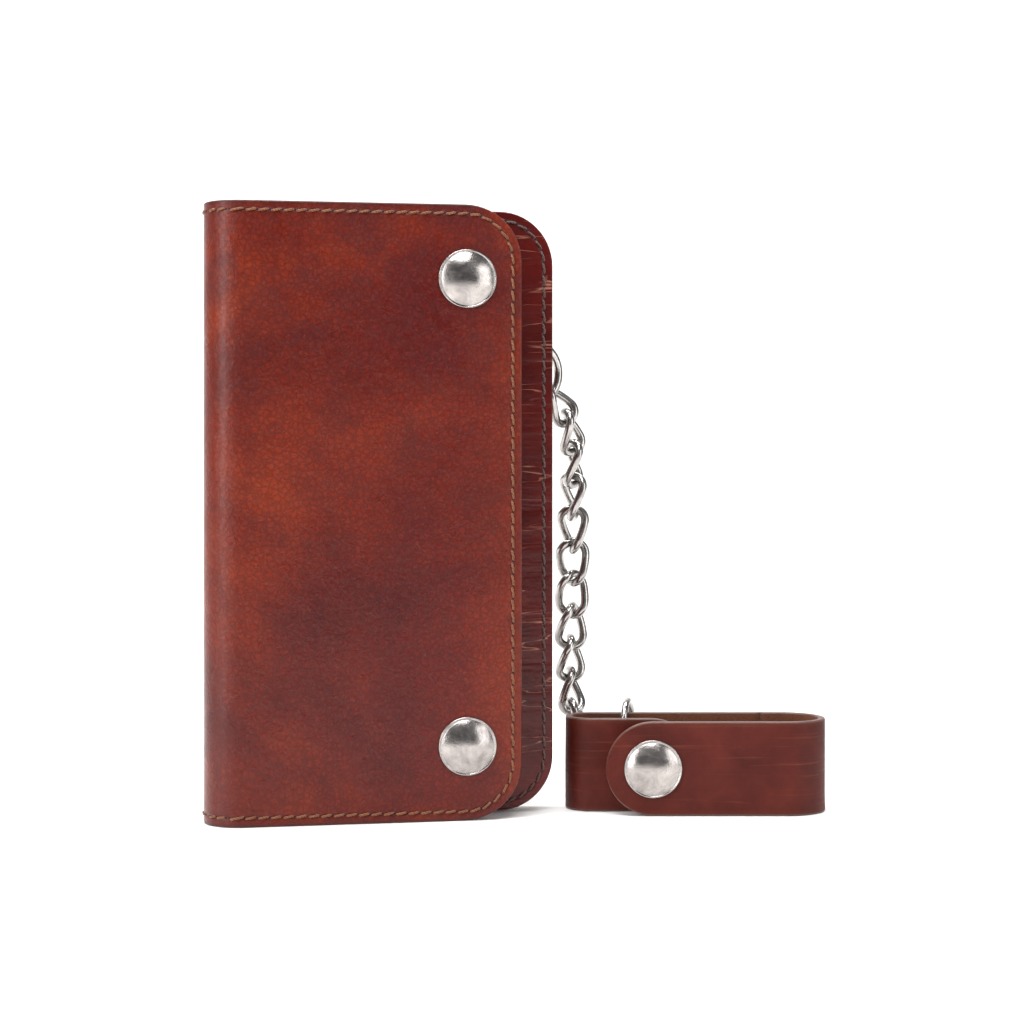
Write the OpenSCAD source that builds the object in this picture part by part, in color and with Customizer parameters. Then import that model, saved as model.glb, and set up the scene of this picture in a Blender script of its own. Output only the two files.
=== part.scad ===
// Chain wallet: a long bifold wallet with two snaps, a curb chain and a snap-on belt loop.
// Front of the wallet faces -Y, +X is its open side and +Z is up. Z = 0 is the surface it stands on.
// The origin is the middle of the back cover's bottom edge.

/* [Wallet] */
// Height of the wallet, along its spine
wallet_h = 178; // [148:1:214]
// Width of the closed wallet, from the spine to the back cover's edge
wallet_w = 103; // [86:1:124]
// How far the front flap stops short of the back cover's edge
flap_short = 12; // [10:0.5:14.5]
// Radius of the rounded corners
corner_r = 16.5; // [13:0.5:20]
// Thickness of the cover leather
leather_t = 2.2; // [1.8:0.1:2.7]
// Thickness of the lining
lining_t = 0.8; // [0.6:0.1:1]

/* [Pockets] */
// Thickness of the banknote and slip pockets' leather
pocket_t = 1.2; // [1:0.1:1.5]
// Thickness of the coin pocket's outer leather
panel_t = 1.4; // [1.1:0.1:1.7]
// Depth of the banknote pocket
bill_gap = 1.6; // [1.4:0.1:2]
// Depth of the slip pocket
slip_gap = 1.4; // [1.1:0.1:1.7]
// Depth of the coin pocket
coin_gap = 3.6; // [3.4:0.1:3.9]
// Thickness of the card slots' leather
card_t = 1; // [0.8:0.1:1.2]
// Length of a card
card_len = 85.6; // [72:0.1:100]
// Distance from one card slot's mouth to the next
card_step = 9; // [7:0.5:11]

/* [Zip] */
// Distance between one tooth and the next on the same tape
tooth_pitch = 2.4; // [2:0.1:3]
// Width of the gap in the leather that the zip shows in
zip_gap = 8; // [7.6:0.1:9]
// Length of the zip's pull tab
pull_len = 18; // [14:1:22]

/* [Snaps] */
// Radius of a snap's domed cap
cap_r = 8.5; // [7:0.1:10.2]
// Height of a snap's domed cap
cap_h = 2.8; // [2:0.1:3.5]
// Space between the two leathers that a closed snap joins
snap_gap = 5.6; // [5.4:0.1:6.7]
// Distance from the flap's edge to the middle of its snaps
snap_inset_x = 16; // [13:0.5:19]
// Distance from the top and bottom edges to the middle of the snaps
snap_inset_z = 21.5; // [18:0.5:26]

/* [Chain] */
// Diameter of a link's wire
wire_d = 2.6; // [2.2:0.1:3]
// Width of a link between the middles of its two legs
link_w = 8.1; // [7.9:0.1:9]
// Length of a link between the middles of its two ends
link_len = 13.3; // [12.6:0.1:14.5]
// Diameter of the D-ring's wire
d_wire = 2.6; // [2.2:0.1:3]
// Radius of the D-ring's bow, to the middle of its wire
d_bow_r = 9; // [8.5:0.1:11]
// Thickness of the tab's leather
tab_t = 1.5; // [1.2:0.1:1.8]

/* [Belt loop] */
// Width of the belt loop's strap
strap_w = 27.5; // [25:0.5:33]
// Thickness of the belt loop's strap
strap_t = 2; // [1.6:0.1:2.4]
// Length of the closed belt loop
loop_len = 77.2; // [68:0.1:92]
// Depth of the closed belt loop at its right bend
loop_depth = 24; // [22:0.5:28]
// Diameter of the small ring's wire
ring_wire = 2.1; // [1.8:0.1:2.3]
// Radius of the small ring, to the middle of its wire
ring_r = 7; // [6.7:0.1:8]

/* [Hidden] */

$fn = 64;
eps = 0.01;

// Depth of each half's layers and of the closed wallet
back_stack = leather_t + lining_t + bill_gap + pocket_t + coin_gap + panel_t;
front_stack = leather_t + lining_t + slip_gap + pocket_t;
closed_t = back_stack + snap_gap + front_stack;

// Faces of the layers, from the back cover's outer face to the front cover's, along -Y
back_out_y = leather_t / 2;
back_in_y = -leather_t / 2;
bill_y = back_in_y - lining_t;
divider_y = bill_y - bill_gap;
coin_y = divider_y - pocket_t;
panel_y = coin_y - coin_gap;
stud_y = panel_y - panel_t;
front_out_y = back_out_y - closed_t;
front_in_y = front_out_y + leather_t;
slip_y = front_in_y + lining_t;
slip_panel_y = slip_y + slip_gap;
socket_y = slip_panel_y + pocket_t;

// Spine: a half circle round a vertical line, cut at four fold lines
spine_r = closed_t / 2;
spine_x = -wallet_w / 2 + spine_r;
spine_y = back_out_y - spine_r;
fold_angles = [22.5, 67.5, 112.5, 157.5];

// Right edges of the two halves, and the layers' steps in from the covers' edges
back_x = wallet_w / 2;
flap_x = back_x - flap_short;
layer_inset = 0.6;
lining_inset = 1.4;
seam_w = 5;
inner_x = spine_x + 4;

// Coin pocket and its zip
zip_x = inner_x + 9.5;
gusset_w = 6;
binding_wall = 1.4;
tape_t = 0.6;
tape_w = 7;
tape_edge = 0.8;
tape_clear = 0.3;
tooth_w = 2.1;
tooth_len = 1;
tooth_reach = -0.35;
tooth_in = 0.9;
tooth_out = 0.9;
stop_len = 2.4;
zip_z0 = layer_inset + gusset_w + tape_clear;
zip_z1 = wallet_h - zip_z0;
teeth_z0 = zip_z0 + 4;
teeth_z1 = zip_z1 - 4;
teeth_count = floor((teeth_z1 - teeth_z0) / tooth_pitch) - 1;
tooth_front_y = panel_y - tooth_out;
tooth_back_y = panel_y + tape_t + tooth_in;

// Zip slider and pull
slider_half_w = zip_gap / 2 - 0.5;
slider_len = 9;
slider_t = 0.9;
slider_clear = 0.3;
slider_web_t = 0.4;
slider_web_len = 2;
slider_z0 = teeth_z1 - 0.6 - slider_clear - slider_len;
slider_front_y = tooth_front_y - slider_clear - slider_t;
bail_r = 0.6;
bail_z = slider_z0 + 6;
bail_half_w = 1.6;
pull_t = 0.8;
pull_hole_r = 0.7;
pull_half_w = 2.8;
pull_pivot_y = slider_front_y - 1.3;
pull_barrel_r = 1;
bail_clear = 0.08;

// Card slots: three panels that step towards the spine, each sewn at three sides
card_x0 = zip_x + 10.5;
card_x1 = flap_x - 4;
card_clear = 0.8;
card_gap = (snap_gap - card_clear - 3 * card_t) / 3;
card_seam = 4;
card_h = card_len + 2 * card_seam + 1.4;
card_z0 = (wallet_h - card_h) / 2;

// Snaps: cap and socket on the outer leather, stud and eyelet on the inner one
snap_x = flap_x - snap_inset_x;
snap_zs = [snap_inset_z, wallet_h - snap_inset_z];
post_r = 1.6;
post_hole_r = 1.65;
cap_rim_h = 0.6;
socket_r = 5.6;
socket_base = 0.6;
socket_body_r = 5;
socket_bore_r = 3.5;
socket_lip_r = 3.15;
socket_h = 3.2;
socket_lip_h = 0.45;
spring_z = 2.3;
spring_wire_r = 0.35;
stud_flange = 0.6;
stud_neck_r = 2;
stud_head_r = 2.4;
stud_head_h = 0.95;
stud_top = snap_gap - socket_base - 0.3;
stud_bore_depth = 1.4;
eyelet_r = 4.2;
eyelet_flange = 0.5;

// Belt loop, in its own frame: u along it, v towards its back, standing on Z = 0
loop_yaw = -10.4;
loop_front_v = -loop_depth / 2;
loop_back_v = loop_depth / 2;
right_bend_r = loop_depth / 2;
right_bend_u = loop_len - right_bend_r;
inner_end_v = loop_front_v + strap_t + snap_gap;
left_bend_r = (loop_back_v - inner_end_v) / 2;
left_bend_v = loop_back_v - left_bend_r;
tail_end_u = 11.5;
loop_snap_u = tail_end_u + strap_w / 2;
loop_snap_z = strap_w / 2;

// Small ring through a hole near the top edge of the loop's back layer
ring_turn = 12.8;
ring_off = 2.5;
ring_u = 19.2;
ring_v = loop_back_v - strap_t / 2 + ring_off;
ring_drop = 3.9;
ring_z = strap_w - ring_drop;
ring_reach = -ring_off / cos(ring_turn);
ring_hole_r = 2.3;
ring_hole_u = ring_u + ring_reach * sin(ring_turn);
ring_hole_z = ring_z - sqrt(ring_r * ring_r - ring_reach * ring_reach);

// Chain, from the D-ring down to the small ring. Each link: lean from straight down, heading of
// the lean, roll about the link's own length, and play at its lower end
link_play = 0.3;
chain_lie = [
    [40.8, 22, 50, 0.35],
    [26, 55.5, 56.8, 0.35],
    [13, 78, 77.3, 0.34],
    [10.9, 79.6, 102.2, 0.3],
    [9.4, 80, 125, 0.33],
    [10.7, 83.3, 150.8, 0.34],
    [10.2, 84.3, 179.4, 0.31],
    [11.5, 86.5, 204.6, 0.32],
    [10, 80.6, 220.3, 0.38],
    [-4.9, 110.8, 230.6, 0.93],
    [42.5, -36.1, 238, 1.61],
    [77.1, -46.9, 260.8, 1.1],
    [101.3, -74.6, 255.3, 1.12]
];
link_count = len(chain_lie);
link_sides = 8;
link_rings = 28;
link_twist = 90;
ring_hang = -52.3;

// Direction of a link that leans from straight down
function lie_dir(k) = [
    sin(chain_lie[k][0]) * cos(chain_lie[k][1]),
    sin(chain_lie[k][0]) * sin(chain_lie[k][1]),
    -cos(chain_lie[k][0])
];
// Play at the upper end of link k
function play_above(k) = k == 0 ? link_play : chain_lie[k - 1][3];
// Distance from a link's middle to its joint, for a given play
function half_link(play) = link_len / 2 - (wire_d + play) / 2;
// Run of the chain from its first joint to the joint above link k
function run_to(k) = k == 0 ? [0, 0, 0] : run_to(k - 1) + lie_dir(k - 1)
    * (half_link(play_above(k - 1)) + half_link(chain_lie[k - 1][3]));

// D-ring and tab. The chain's length up from the small ring sets the tab's height
d_turn = 26.5;
d_hang = -44.5;
tab_bore_r = d_wire / 2 + 0.08;
tab_barrel_r = d_wire / 2 + 0.1 + tab_t;
d_half_h = d_bow_r;
tab_half_h = d_half_h - d_wire / 2 - 1.2;
tab_len = 24;
bar_x = back_x - 3.3;
bar_y = back_out_y + tab_barrel_r;
d_inside = d_bow_r - d_wire / 2 - link_play / 2;
ring_inside = ring_r - ring_wire / 2 - chain_lie[link_count - 1][3] / 2;

// Where the chain ends on the small ring, in the loop's frame, with the ring's middle as origin
ring_end = [
    ring_inside * cos(ring_hang) * sin(ring_turn),
    ring_inside * cos(ring_hang) * cos(ring_turn),
    ring_inside * sin(ring_hang)
];
// Where the chain starts inside the D-ring, from the middle of its bar
d_start = [
    d_inside * cos(d_hang) * cos(d_turn),
    d_inside * cos(d_hang) * sin(d_turn),
    d_inside * sin(d_hang)
];
// Turns a point of the loop's frame into the wallet's directions
function from_loop(p) = [
    p[0] * cos(loop_yaw) - p[1] * sin(loop_yaw),
    p[0] * sin(loop_yaw) + p[1] * cos(loop_yaw),
    p[2]
];
chain_run = run_to(link_count);
chain_end_in_loop = from_loop([ring_u, ring_v, ring_z] + ring_end);
bar_z = chain_end_in_loop[2] - chain_run[2] - d_start[2];
chain_start = [bar_x, bar_y, bar_z] + d_start;
loop_place = chain_start + chain_run - chain_end_in_loop;
rivet_r = 1.2;
rivet_hole_r = 1.25;
rivet_cap_r = 3.2;
rivet_cap_h = 1.2;
rivet_foot_r = 2.8;
rivet_foot_h = 0.6;
rivet_grip = 2 * tab_t + leather_t + lining_t;
rivet_xs = [bar_x - 9, bar_x - 18];

// ---- Shared shapes ----

// Outline of one half in the XZ plane: square at the spine, rounded at the open side
module half_outline(x0, x1, inset) {
    r = corner_r - inset;
    translate([x0, inset])
        square([x1 - inset - r - x0, wallet_h - 2 * inset]);
    translate([x1 - inset - r - eps, inset + r])
        square([r + eps, wallet_h - 2 * (inset + r)]);
    for (z = [inset + r, wallet_h - inset - r])
        translate([x1 - inset - r, z])
            circle(r);
}

// Sheet in the XZ plane whose rear face is at y and whose thickness runs towards -Y
module sheet(y, t) {
    translate([0, y, 0])
        rotate([90, 0, 0])
            linear_extrude(t)
                children();
}

// Sheet like sheet(), with a seam strip round three sides that sets it off the layer behind it
module pocket(y, gap, t, x0, x1, inset) {
    sheet(y - gap, t)
        half_outline(x0, x1, inset);
    sheet(y, gap + eps)
        seam_outline(x0, x1, inset, seam_w);
}

// Strip of a width along the top, bottom and open side of a half's outline
module seam_outline(x0, x1, inset, w) {
    difference() {
        half_outline(x0, x1, inset);
        translate([x0 - 1, inset + w])
            square([x1 - inset - w - x0 + 1, wallet_h - 2 * (inset + w)]);
    }
}

// Sector of the folded spine between two angles, counted from the back cover
module spine_sector(a0, a1) {
    translate([spine_x, spine_y, 0])
        rotate([0, 0, 90 + a0])
            rotate_extrude(angle = a1 - a0, $fn = 96)
                translate([spine_r - leather_t, 0])
                    square([leather_t, wallet_h]);
}

// Places children at both flap snaps, with their +Z towards the front
module at_flap_snaps(y) {
    for (z = snap_zs)
        translate([snap_x, y, z])
            rotate([90, 0, 0])
                children();
}

// Places children in the belt loop's own frame
module in_loop() {
    translate([loop_place[0], loop_place[1], 0])
        rotate([0, 0, loop_yaw])
            children();
}

// Places children at the belt loop's snap, with their +Z towards the front
module at_loop_snap(v) {
    in_loop()
        translate([loop_snap_u, v, loop_snap_z])
            rotate([90, 0, 0])
                children();
}

// Domed cap with its post. Z = 0 is the leather's outer face
module snap_cap(leather) {
    dome_r = (cap_r * cap_r + cap_h * cap_h) / (2 * cap_h);
    intersection() {
        translate([0, 0, cap_h - dome_r])
            sphere(dome_r, $fn = 96);
        cylinder(h = cap_h, r = cap_r - 0.2);
    }
    cylinder(h = cap_rim_h, r = cap_r);
    translate([0, 0, -leather - socket_base])
        cylinder(h = leather + socket_base + eps, r = post_r);
}

// Socket. Z = 0 is the leather's inner face and +Z points away from the leather
module snap_socket() {
    difference() {
        union() {
            cylinder(h = socket_base, r = socket_r);
            cylinder(h = socket_h, r = socket_body_r);
        }
        translate([0, 0, -1])
            cylinder(h = socket_h + 2, r = post_hole_r);
        translate([0, 0, socket_base])
            cylinder(h = socket_h - socket_base - socket_lip_h, r = socket_bore_r);
        translate([0, 0, socket_base])
            cylinder(h = socket_h, r = socket_lip_r);
    }
}

// Split ring of wire that grips the stud inside the socket
module snap_spring() {
    translate([0, 0, spring_z])
        rotate([0, 0, 30])
            rotate_extrude(angle = 300, $fn = 48)
                translate([socket_bore_r - spring_wire_r - 0.05, 0])
                    circle(spring_wire_r, $fn = 24);
}

// Stud. Z = 0 is the leather's face and +Z points into the socket
module snap_stud() {
    difference() {
        union() {
            cylinder(h = stud_flange, r = socket_r);
            cylinder(h = stud_top - eps, r = stud_neck_r);
            translate([0, 0, stud_top - stud_head_h])
                cylinder(h = stud_head_h * 0.6, r = stud_head_r);
            translate([0, 0, stud_top - stud_head_h * 0.4])
                cylinder(h = stud_head_h * 0.4, r1 = stud_head_r, r2 = stud_neck_r);
        }
        translate([0, 0, -1])
            cylinder(h = stud_bore_depth + 1, r = post_hole_r);
    }
}

// Eyelet that holds the stud. Z = 0 is the leather's rear face and +Z points through the leather
module snap_eyelet(leather) {
    translate([0, 0, -eyelet_flange])
        cylinder(h = eyelet_flange, r = eyelet_r);
    cylinder(h = leather + stud_bore_depth - 0.1, r = post_r);
}

// ---- Cover ----

module cover_back() {
    color("sienna")
        difference() {
            union() {
                sheet(back_out_y, leather_t)
                    half_outline(spine_x, back_x, 0);
                spine_sector(0, fold_angles[0]);
            }
            tab_rivet_holes();
        }
}

module cover_spine_1() {
    color("saddlebrown")
        spine_sector(fold_angles[0], fold_angles[1]);
}

module cover_spine_2() {
    color("sienna")
        spine_sector(fold_angles[1], fold_angles[2]);
}

module cover_spine_3() {
    color("saddlebrown")
        spine_sector(fold_angles[2], fold_angles[3]);
}

module cover_front() {
    color("sienna")
        difference() {
            union() {
                sheet(front_in_y, leather_t)
                    half_outline(spine_x, flap_x, 0);
                translate([0, 2 * spine_y, 0])
                    mirror([0, 1, 0])
                        spine_sector(0, 180 - fold_angles[3]);
            }
            flap_snap_holes(front_out_y, leather_t);
        }
}

// Holes for the flap snaps' posts through a sheet that is t thick, with its outer face at y
module flap_snap_holes(y, t) {
    at_flap_snaps(y)
        translate([0, 0, -t - 1])
            cylinder(h = t + 2, r = post_hole_r);
}

// ---- Back half's pockets ----

module back_lining() {
    color("peru")
        difference() {
            sheet(back_in_y, lining_t)
                half_outline(spine_x, back_x, lining_inset);
            tab_rivet_holes();
        }
}

module bill_pocket() {
    color("maroon")
        pocket(bill_y, bill_gap, pocket_t, inner_x, back_x, layer_inset);
}

module coin_gusset() {
    color("saddlebrown")
        sheet(coin_y, coin_gap)
            seam_outline(inner_x + binding_wall + 0.1, back_x, layer_inset, gusset_w);
}

module coin_panel() {
    color("darkred")
        difference() {
            sheet(panel_y, panel_t)
                half_outline(zip_x + zip_gap / 2, back_x, layer_inset);
            flap_snap_holes(stud_y, panel_t);
        }
}

module zip_binding() {
    color("darkred") {
        translate([inner_x, stud_y, layer_inset])
            cube([zip_x - zip_gap / 2 - inner_x, panel_t, wallet_h - 2 * layer_inset]);
        translate([inner_x, stud_y, layer_inset])
            cube([binding_wall, coin_y - stud_y, wallet_h - 2 * layer_inset]);
    }
}

// ---- Zip ----

module zip_tape_left() {
    color("dimgray")
        translate([zip_x - tape_edge - tape_w, panel_y, zip_z0])
            cube([tape_w, tape_t, zip_z1 - zip_z0]);
}

module zip_tape_right() {
    color("dimgray")
        translate([zip_x + tape_edge, panel_y, zip_z0])
            cube([tape_w, tape_t, zip_z1 - zip_z0]);
}

// Row of teeth on the left tape, each with a slot for the tape's edge
module tooth_row(z0) {
    for (k = [0 : teeth_count - 1])
        translate([zip_x, 0, z0 + k * tooth_pitch])
            difference() {
                translate([tooth_reach - tooth_w, tooth_front_y, 0])
                    cube([tooth_w, tooth_back_y - tooth_front_y, tooth_len]);
                translate([-tape_edge - tooth_w, panel_y - 0.02, -1])
                    cube([tooth_w + 0.02, tape_t + 0.04, tooth_len + 2]);
            }
}

module zip_teeth_left() {
    color("silver")
        tooth_row(teeth_z0);
}

module zip_teeth_right() {
    color("silver")
        translate([2 * zip_x, 0, 0])
            mirror([1, 0, 0])
                tooth_row(teeth_z0 + tooth_pitch / 2);
}

module zip_stops() {
    color("silver")
        for (z = [teeth_z0 - stop_len - 0.6, teeth_z1 - 0.6])
            translate([zip_x - tape_edge - 1, tooth_front_y, z])
                cube([2 * (tape_edge + 1), panel_y - tooth_front_y, stop_len]);
}

// Slider: a plate on each side of the teeth, joined by side walls with a slot for the tapes
module zip_slider() {
    wall = 0.8;
    back_plate_y = tooth_back_y + slider_clear;
    color("gray") {
        difference() {
            translate([zip_x - slider_half_w, slider_front_y, slider_z0])
                cube([2 * slider_half_w, back_plate_y + slider_t - slider_front_y, slider_len]);
            translate([zip_x - slider_half_w + wall, slider_front_y + slider_t, slider_z0 - 1])
                cube([2 * (slider_half_w - wall), back_plate_y - slider_front_y - slider_t, slider_len + 2]);
            translate([zip_x - slider_half_w - 1, panel_y - tape_clear, slider_z0 - 1])
                cube([wall + 1.2, tape_t + 2 * tape_clear, slider_len + 2]);
            translate([zip_x + slider_half_w - wall - 0.2, panel_y - tape_clear, slider_z0 - 1])
                cube([wall + 1.2, tape_t + 2 * tape_clear, slider_len + 2]);
        }
        slider_web();
        slider_bail();
    }
}

// Thin web between the two rows of teeth that joins the slider's two plates
module slider_web() {
    translate([zip_x - slider_web_t / 2, slider_front_y + eps, slider_z0 + slider_len - slider_web_len])
        cube([slider_web_t, tooth_back_y + slider_clear + slider_t - slider_front_y - 2 * eps, slider_web_len]);
}

// Small bridge on the slider's face that holds the pull
module slider_bail() {
    for (s = [-1, 1])
        translate([zip_x + s * (bail_half_w + bail_r), pull_pivot_y - bail_r, bail_z - bail_r])
            translate([-bail_r, 0, 0])
                cube([2 * bail_r, slider_front_y - pull_pivot_y + bail_r + eps, 2 * bail_r]);
    translate([zip_x - bail_half_w - bail_r, pull_pivot_y, bail_z])
        rotate([0, 90, 0])
            cylinder(h = 2 * (bail_half_w + bail_r), r = pull_hole_r - bail_clear, $fn = 32);
}

// Pull tab, hanging from the bail
module zip_pull() {
    color("gray")
        difference() {
            union() {
                translate([zip_x - bail_half_w + 0.15, pull_pivot_y, bail_z])
                    rotate([0, 90, 0])
                        cylinder(h = 2 * bail_half_w - 0.3, r = pull_barrel_r, $fn = 32);
                translate([zip_x - bail_half_w + 0.15, pull_pivot_y - pull_barrel_r, bail_z - 2.6])
                    cube([2 * bail_half_w - 0.3, pull_t, 2.6]);
                translate([zip_x - pull_half_w, pull_pivot_y - pull_barrel_r, bail_z - 2.2 - pull_len])
                    cube([2 * pull_half_w, pull_t, pull_len]);
            }
            translate([zip_x - 5, pull_pivot_y, bail_z])
                rotate([0, 90, 0])
                    cylinder(h = 10, r = pull_hole_r, $fn = 32);
        }
}

// ---- Front half's pockets ----

module front_lining() {
    color("peru")
        difference() {
            sheet(slip_y, lining_t)
                half_outline(spine_x, flap_x, lining_inset);
            flap_snap_holes(front_in_y, lining_t);
        }
}

module slip_pocket() {
    color("maroon")
        difference() {
            union() {
                sheet(socket_y, pocket_t)
                    half_outline(inner_x, flap_x, layer_inset);
                sheet(slip_panel_y + eps, slip_gap + eps)
                    seam_outline(inner_x, flap_x, layer_inset, seam_w);
            }
            flap_snap_holes(slip_panel_y, pocket_t);
        }
}

// Card slot k of three, counted from the slip pocket outwards
module card_slot(k) {
    base_y = socket_y + k * (card_gap + card_t);
    x0 = card_x0 + k * card_step;
    color("maroon") {
        sheet(base_y + card_gap + card_t, card_t)
            translate([x0, card_z0])
                square([card_x1 - x0, card_h]);
        sheet(base_y + card_gap + eps, card_gap + eps)
            difference() {
                translate([x0, card_z0])
                    square([card_x1 - x0, card_h]);
                translate([x0 - 1, card_z0 + card_seam])
                    square([card_x1 - card_seam - x0 + 1, card_h - 2 * card_seam]);
            }
    }
}

module card_slot_1() {
    card_slot(0);
}

module card_slot_2() {
    card_slot(1);
}

module card_slot_3() {
    card_slot(2);
}

// ---- Flap snaps ----

module flap_snap_caps() {
    color("silver")
        at_flap_snaps(front_out_y)
            snap_cap(front_stack);
}

module flap_snap_sockets() {
    color("darkgray")
        at_flap_snaps(socket_y)
            mirror([0, 0, 1])
                snap_socket();
}

module flap_snap_springs() {
    color("gray")
        at_flap_snaps(socket_y)
            mirror([0, 0, 1])
                snap_spring();
}

module flap_snap_studs() {
    color("silver")
        at_flap_snaps(stud_y)
            snap_stud();
}

module flap_snap_eyelets() {
    color("darkgray")
        at_flap_snaps(panel_y)
            snap_eyelet(panel_t);
}

// ---- Chain tab and D-ring ----

// Holes for the tab's rivets, through the tab, the back cover and its lining
module tab_rivet_holes() {
    for (x = rivet_xs)
        translate([x, 0, bar_z])
            rotate([90, 0, 0])
                cylinder(h = 40, r = rivet_hole_r, center = true);
}

module chain_tab() {
    color("saddlebrown")
        difference() {
            union() {
                translate([bar_x - tab_len, back_out_y, bar_z - tab_half_h])
                    cube([tab_len, 2 * tab_t, 2 * tab_half_h]);
                translate([bar_x, bar_y, bar_z - tab_half_h])
                    cylinder(h = 2 * tab_half_h, r = tab_barrel_r);
            }
            translate([bar_x, bar_y, bar_z - tab_half_h - 1])
                cylinder(h = 2 * tab_half_h + 2, r = tab_bore_r);
            tab_rivet_holes();
        }
}

module tab_rivets() {
    color("silver")
        for (x = rivet_xs)
            translate([x, back_out_y + 2 * tab_t, bar_z])
                rotate([-90, 0, 0]) {
                    cylinder(h = rivet_cap_h * 0.4, r = rivet_cap_r);
                    translate([0, 0, rivet_cap_h * 0.4])
                        cylinder(h = rivet_cap_h * 0.6, r1 = rivet_cap_r, r2 = rivet_cap_r * 0.6);
                    translate([0, 0, -rivet_grip - rivet_foot_h])
                        cylinder(h = rivet_grip + rivet_foot_h + eps, r = rivet_r);
                    translate([0, 0, -rivet_grip - rivet_foot_h])
                        cylinder(h = rivet_foot_h, r = rivet_foot_r);
                }
}

// Bar held by the tab, and a half-round bow turned away from the cover
module d_ring() {
    color("silver")
        translate([bar_x, bar_y, bar_z])
            rotate([0, 0, d_turn]) {
                translate([0, 0, -d_half_h])
                    cylinder(h = 2 * d_half_h, r = d_wire / 2, $fn = 32);
                for (s = [-1, 1])
                    translate([0, 0, s * d_half_h])
                        sphere(d_wire / 2, $fn = 32);
                rotate([90, 0, 0])
                    rotate([0, 0, -90])
                        rotate_extrude(angle = 180, $fn = 64)
                            translate([d_bow_r, 0])
                                circle(d_wire / 2, $fn = 32);
            }
}

// ---- Chain ----

// Point of a flat oval at a share of the way round it: two straight legs and two round ends
function oval(s) =
    let (r = link_w / 2, leg = link_len - link_w, round = PI * r)
    let (way = s * 2 * (leg + round))
    way < leg ? [r, way - leg / 2]
    : way < leg + round ? [r * cos((way - leg) / r * 180 / PI), leg / 2 + r * sin((way - leg) / r * 180 / PI)]
    : way < 2 * leg + round ? [-r, leg / 2 - (way - leg - round)]
    : [-r * cos((way - 2 * leg - round) / r * 180 / PI), -leg / 2 - r * sin((way - 2 * leg - round) / r * 180 / PI)];

// The same point once the oval is twisted about its length
function twisted(s) =
    let (p = oval(s), a = link_twist * p[1] / link_len)
    [p[0] * cos(a), p[0] * sin(a), p[1]];

function unit(v) = v / norm(v);

// Corners of the wire's section at a share of the way round. The section's axes turn with the twist
function wire_section(s) =
    let (c = twisted(s))
    let (t = unit(twisted(s < 0.999 ? s + 0.001 : s - 0.999) - twisted(s > 0.001 ? s - 0.001 : s + 0.999)))
    let (a = link_twist * c[2] / link_len)
    let (n = unit(cross(t, cross([-sin(a), cos(a), 0], t))))
    let (m = cross(t, n))
    [for (k = [0 : link_sides - 1])
        c + wire_d / 2 * (n * cos(360 * k / link_sides) + m * sin(360 * k / link_sides))];

// One twisted link round the origin, with its length along Z
module curb_link() {
    points = [for (i = [0 : link_rings - 1]) each wire_section(i / link_rings)];
    faces = [for (i = [0 : link_rings - 1], k = [0 : link_sides - 1])
        let (a = i * link_sides, b = ((i + 1) % link_rings) * link_sides, k2 = (k + 1) % link_sides)
        each [[a + k, a + k2, b + k2], [a + k, b + k2, b + k]]];
    polyhedron(points, faces);
}

// Link k in place, counted from the D-ring
module chain_link(k) {
    lie = chain_lie[k];
    color("gray")
        translate(chain_start + run_to(k) + lie_dir(k) * half_link(play_above(k)))
            rotate([0, 0, lie[1]])
                rotate([0, -lie[0], 0])
                    rotate([0, 0, lie[2] - lie[1]])
                        curb_link();
}

// ---- Belt loop ----

module loop_ring() {
    color("silver")
        in_loop()
            translate([ring_u, ring_v, ring_z])
                rotate([0, 0, 90 - ring_turn])
                    rotate([90, 0, 0])
                        rotate_extrude($fn = 64)
                            translate([ring_r, 0])
                                circle(ring_wire / 2, $fn = 32);
}

// Strap standing on its edge, from u0 to u1, with its front face at v
module strap(v, u0, u1) {
    translate([0, v + strap_t, 0])
        rotate([90, 0, 0])
            linear_extrude(strap_t)
                translate([u0, 0])
                    square([u1 - u0, strap_w]);
}

// Strap like strap(), with a round end at the snap
module snap_end(v, u1) {
    from_u = min(loop_snap_u, u1);
    translate([0, v + strap_t, 0])
        rotate([90, 0, 0])
            linear_extrude(strap_t) {
                translate([from_u, 0])
                    square([abs(u1 - loop_snap_u), strap_w]);
                translate([loop_snap_u, loop_snap_z])
                    circle(strap_w / 2);
            }
}

// Bend of the strap round (u, v), with outer radius r
module bend(u, v, r, a0, a1) {
    translate([u, v, 0])
        rotate([0, 0, a0])
            rotate_extrude(angle = a1 - a0, $fn = 96)
                translate([r - strap_t, 0])
                    square([strap_t, strap_w]);
}

module loop_strap() {
    color("sienna")
        in_loop()
            difference() {
                union() {
                    snap_end(inner_end_v, left_bend_r);
                    bend(left_bend_r, left_bend_v, left_bend_r, 90, 270);
                    strap(loop_back_v - strap_t, left_bend_r, right_bend_u);
                    bend(right_bend_u, 0, right_bend_r, 0, 90);
                }
                translate([ring_hole_u, loop_back_v - strap_t / 2, ring_hole_z])
                    rotate([90, 0, 0])
                        cylinder(h = strap_t + 2, r = ring_hole_r, center = true, $fn = 32);
                translate([loop_snap_u, inner_end_v + strap_t / 2, loop_snap_z])
                    rotate([90, 0, 0])
                        cylinder(h = strap_t + 2, r = post_hole_r, center = true);
            }
}

module loop_tail() {
    color("sienna")
        in_loop()
            difference() {
                union() {
                    snap_end(loop_front_v, right_bend_u);
                    bend(right_bend_u, 0, right_bend_r, -90, 0);
                }
                translate([loop_snap_u, loop_front_v + strap_t / 2, loop_snap_z])
                    rotate([90, 0, 0])
                        cylinder(h = strap_t + 2, r = post_hole_r, center = true);
            }
}

module loop_snap_cap() {
    color("silver")
        at_loop_snap(loop_front_v)
            snap_cap(strap_t);
}

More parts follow.
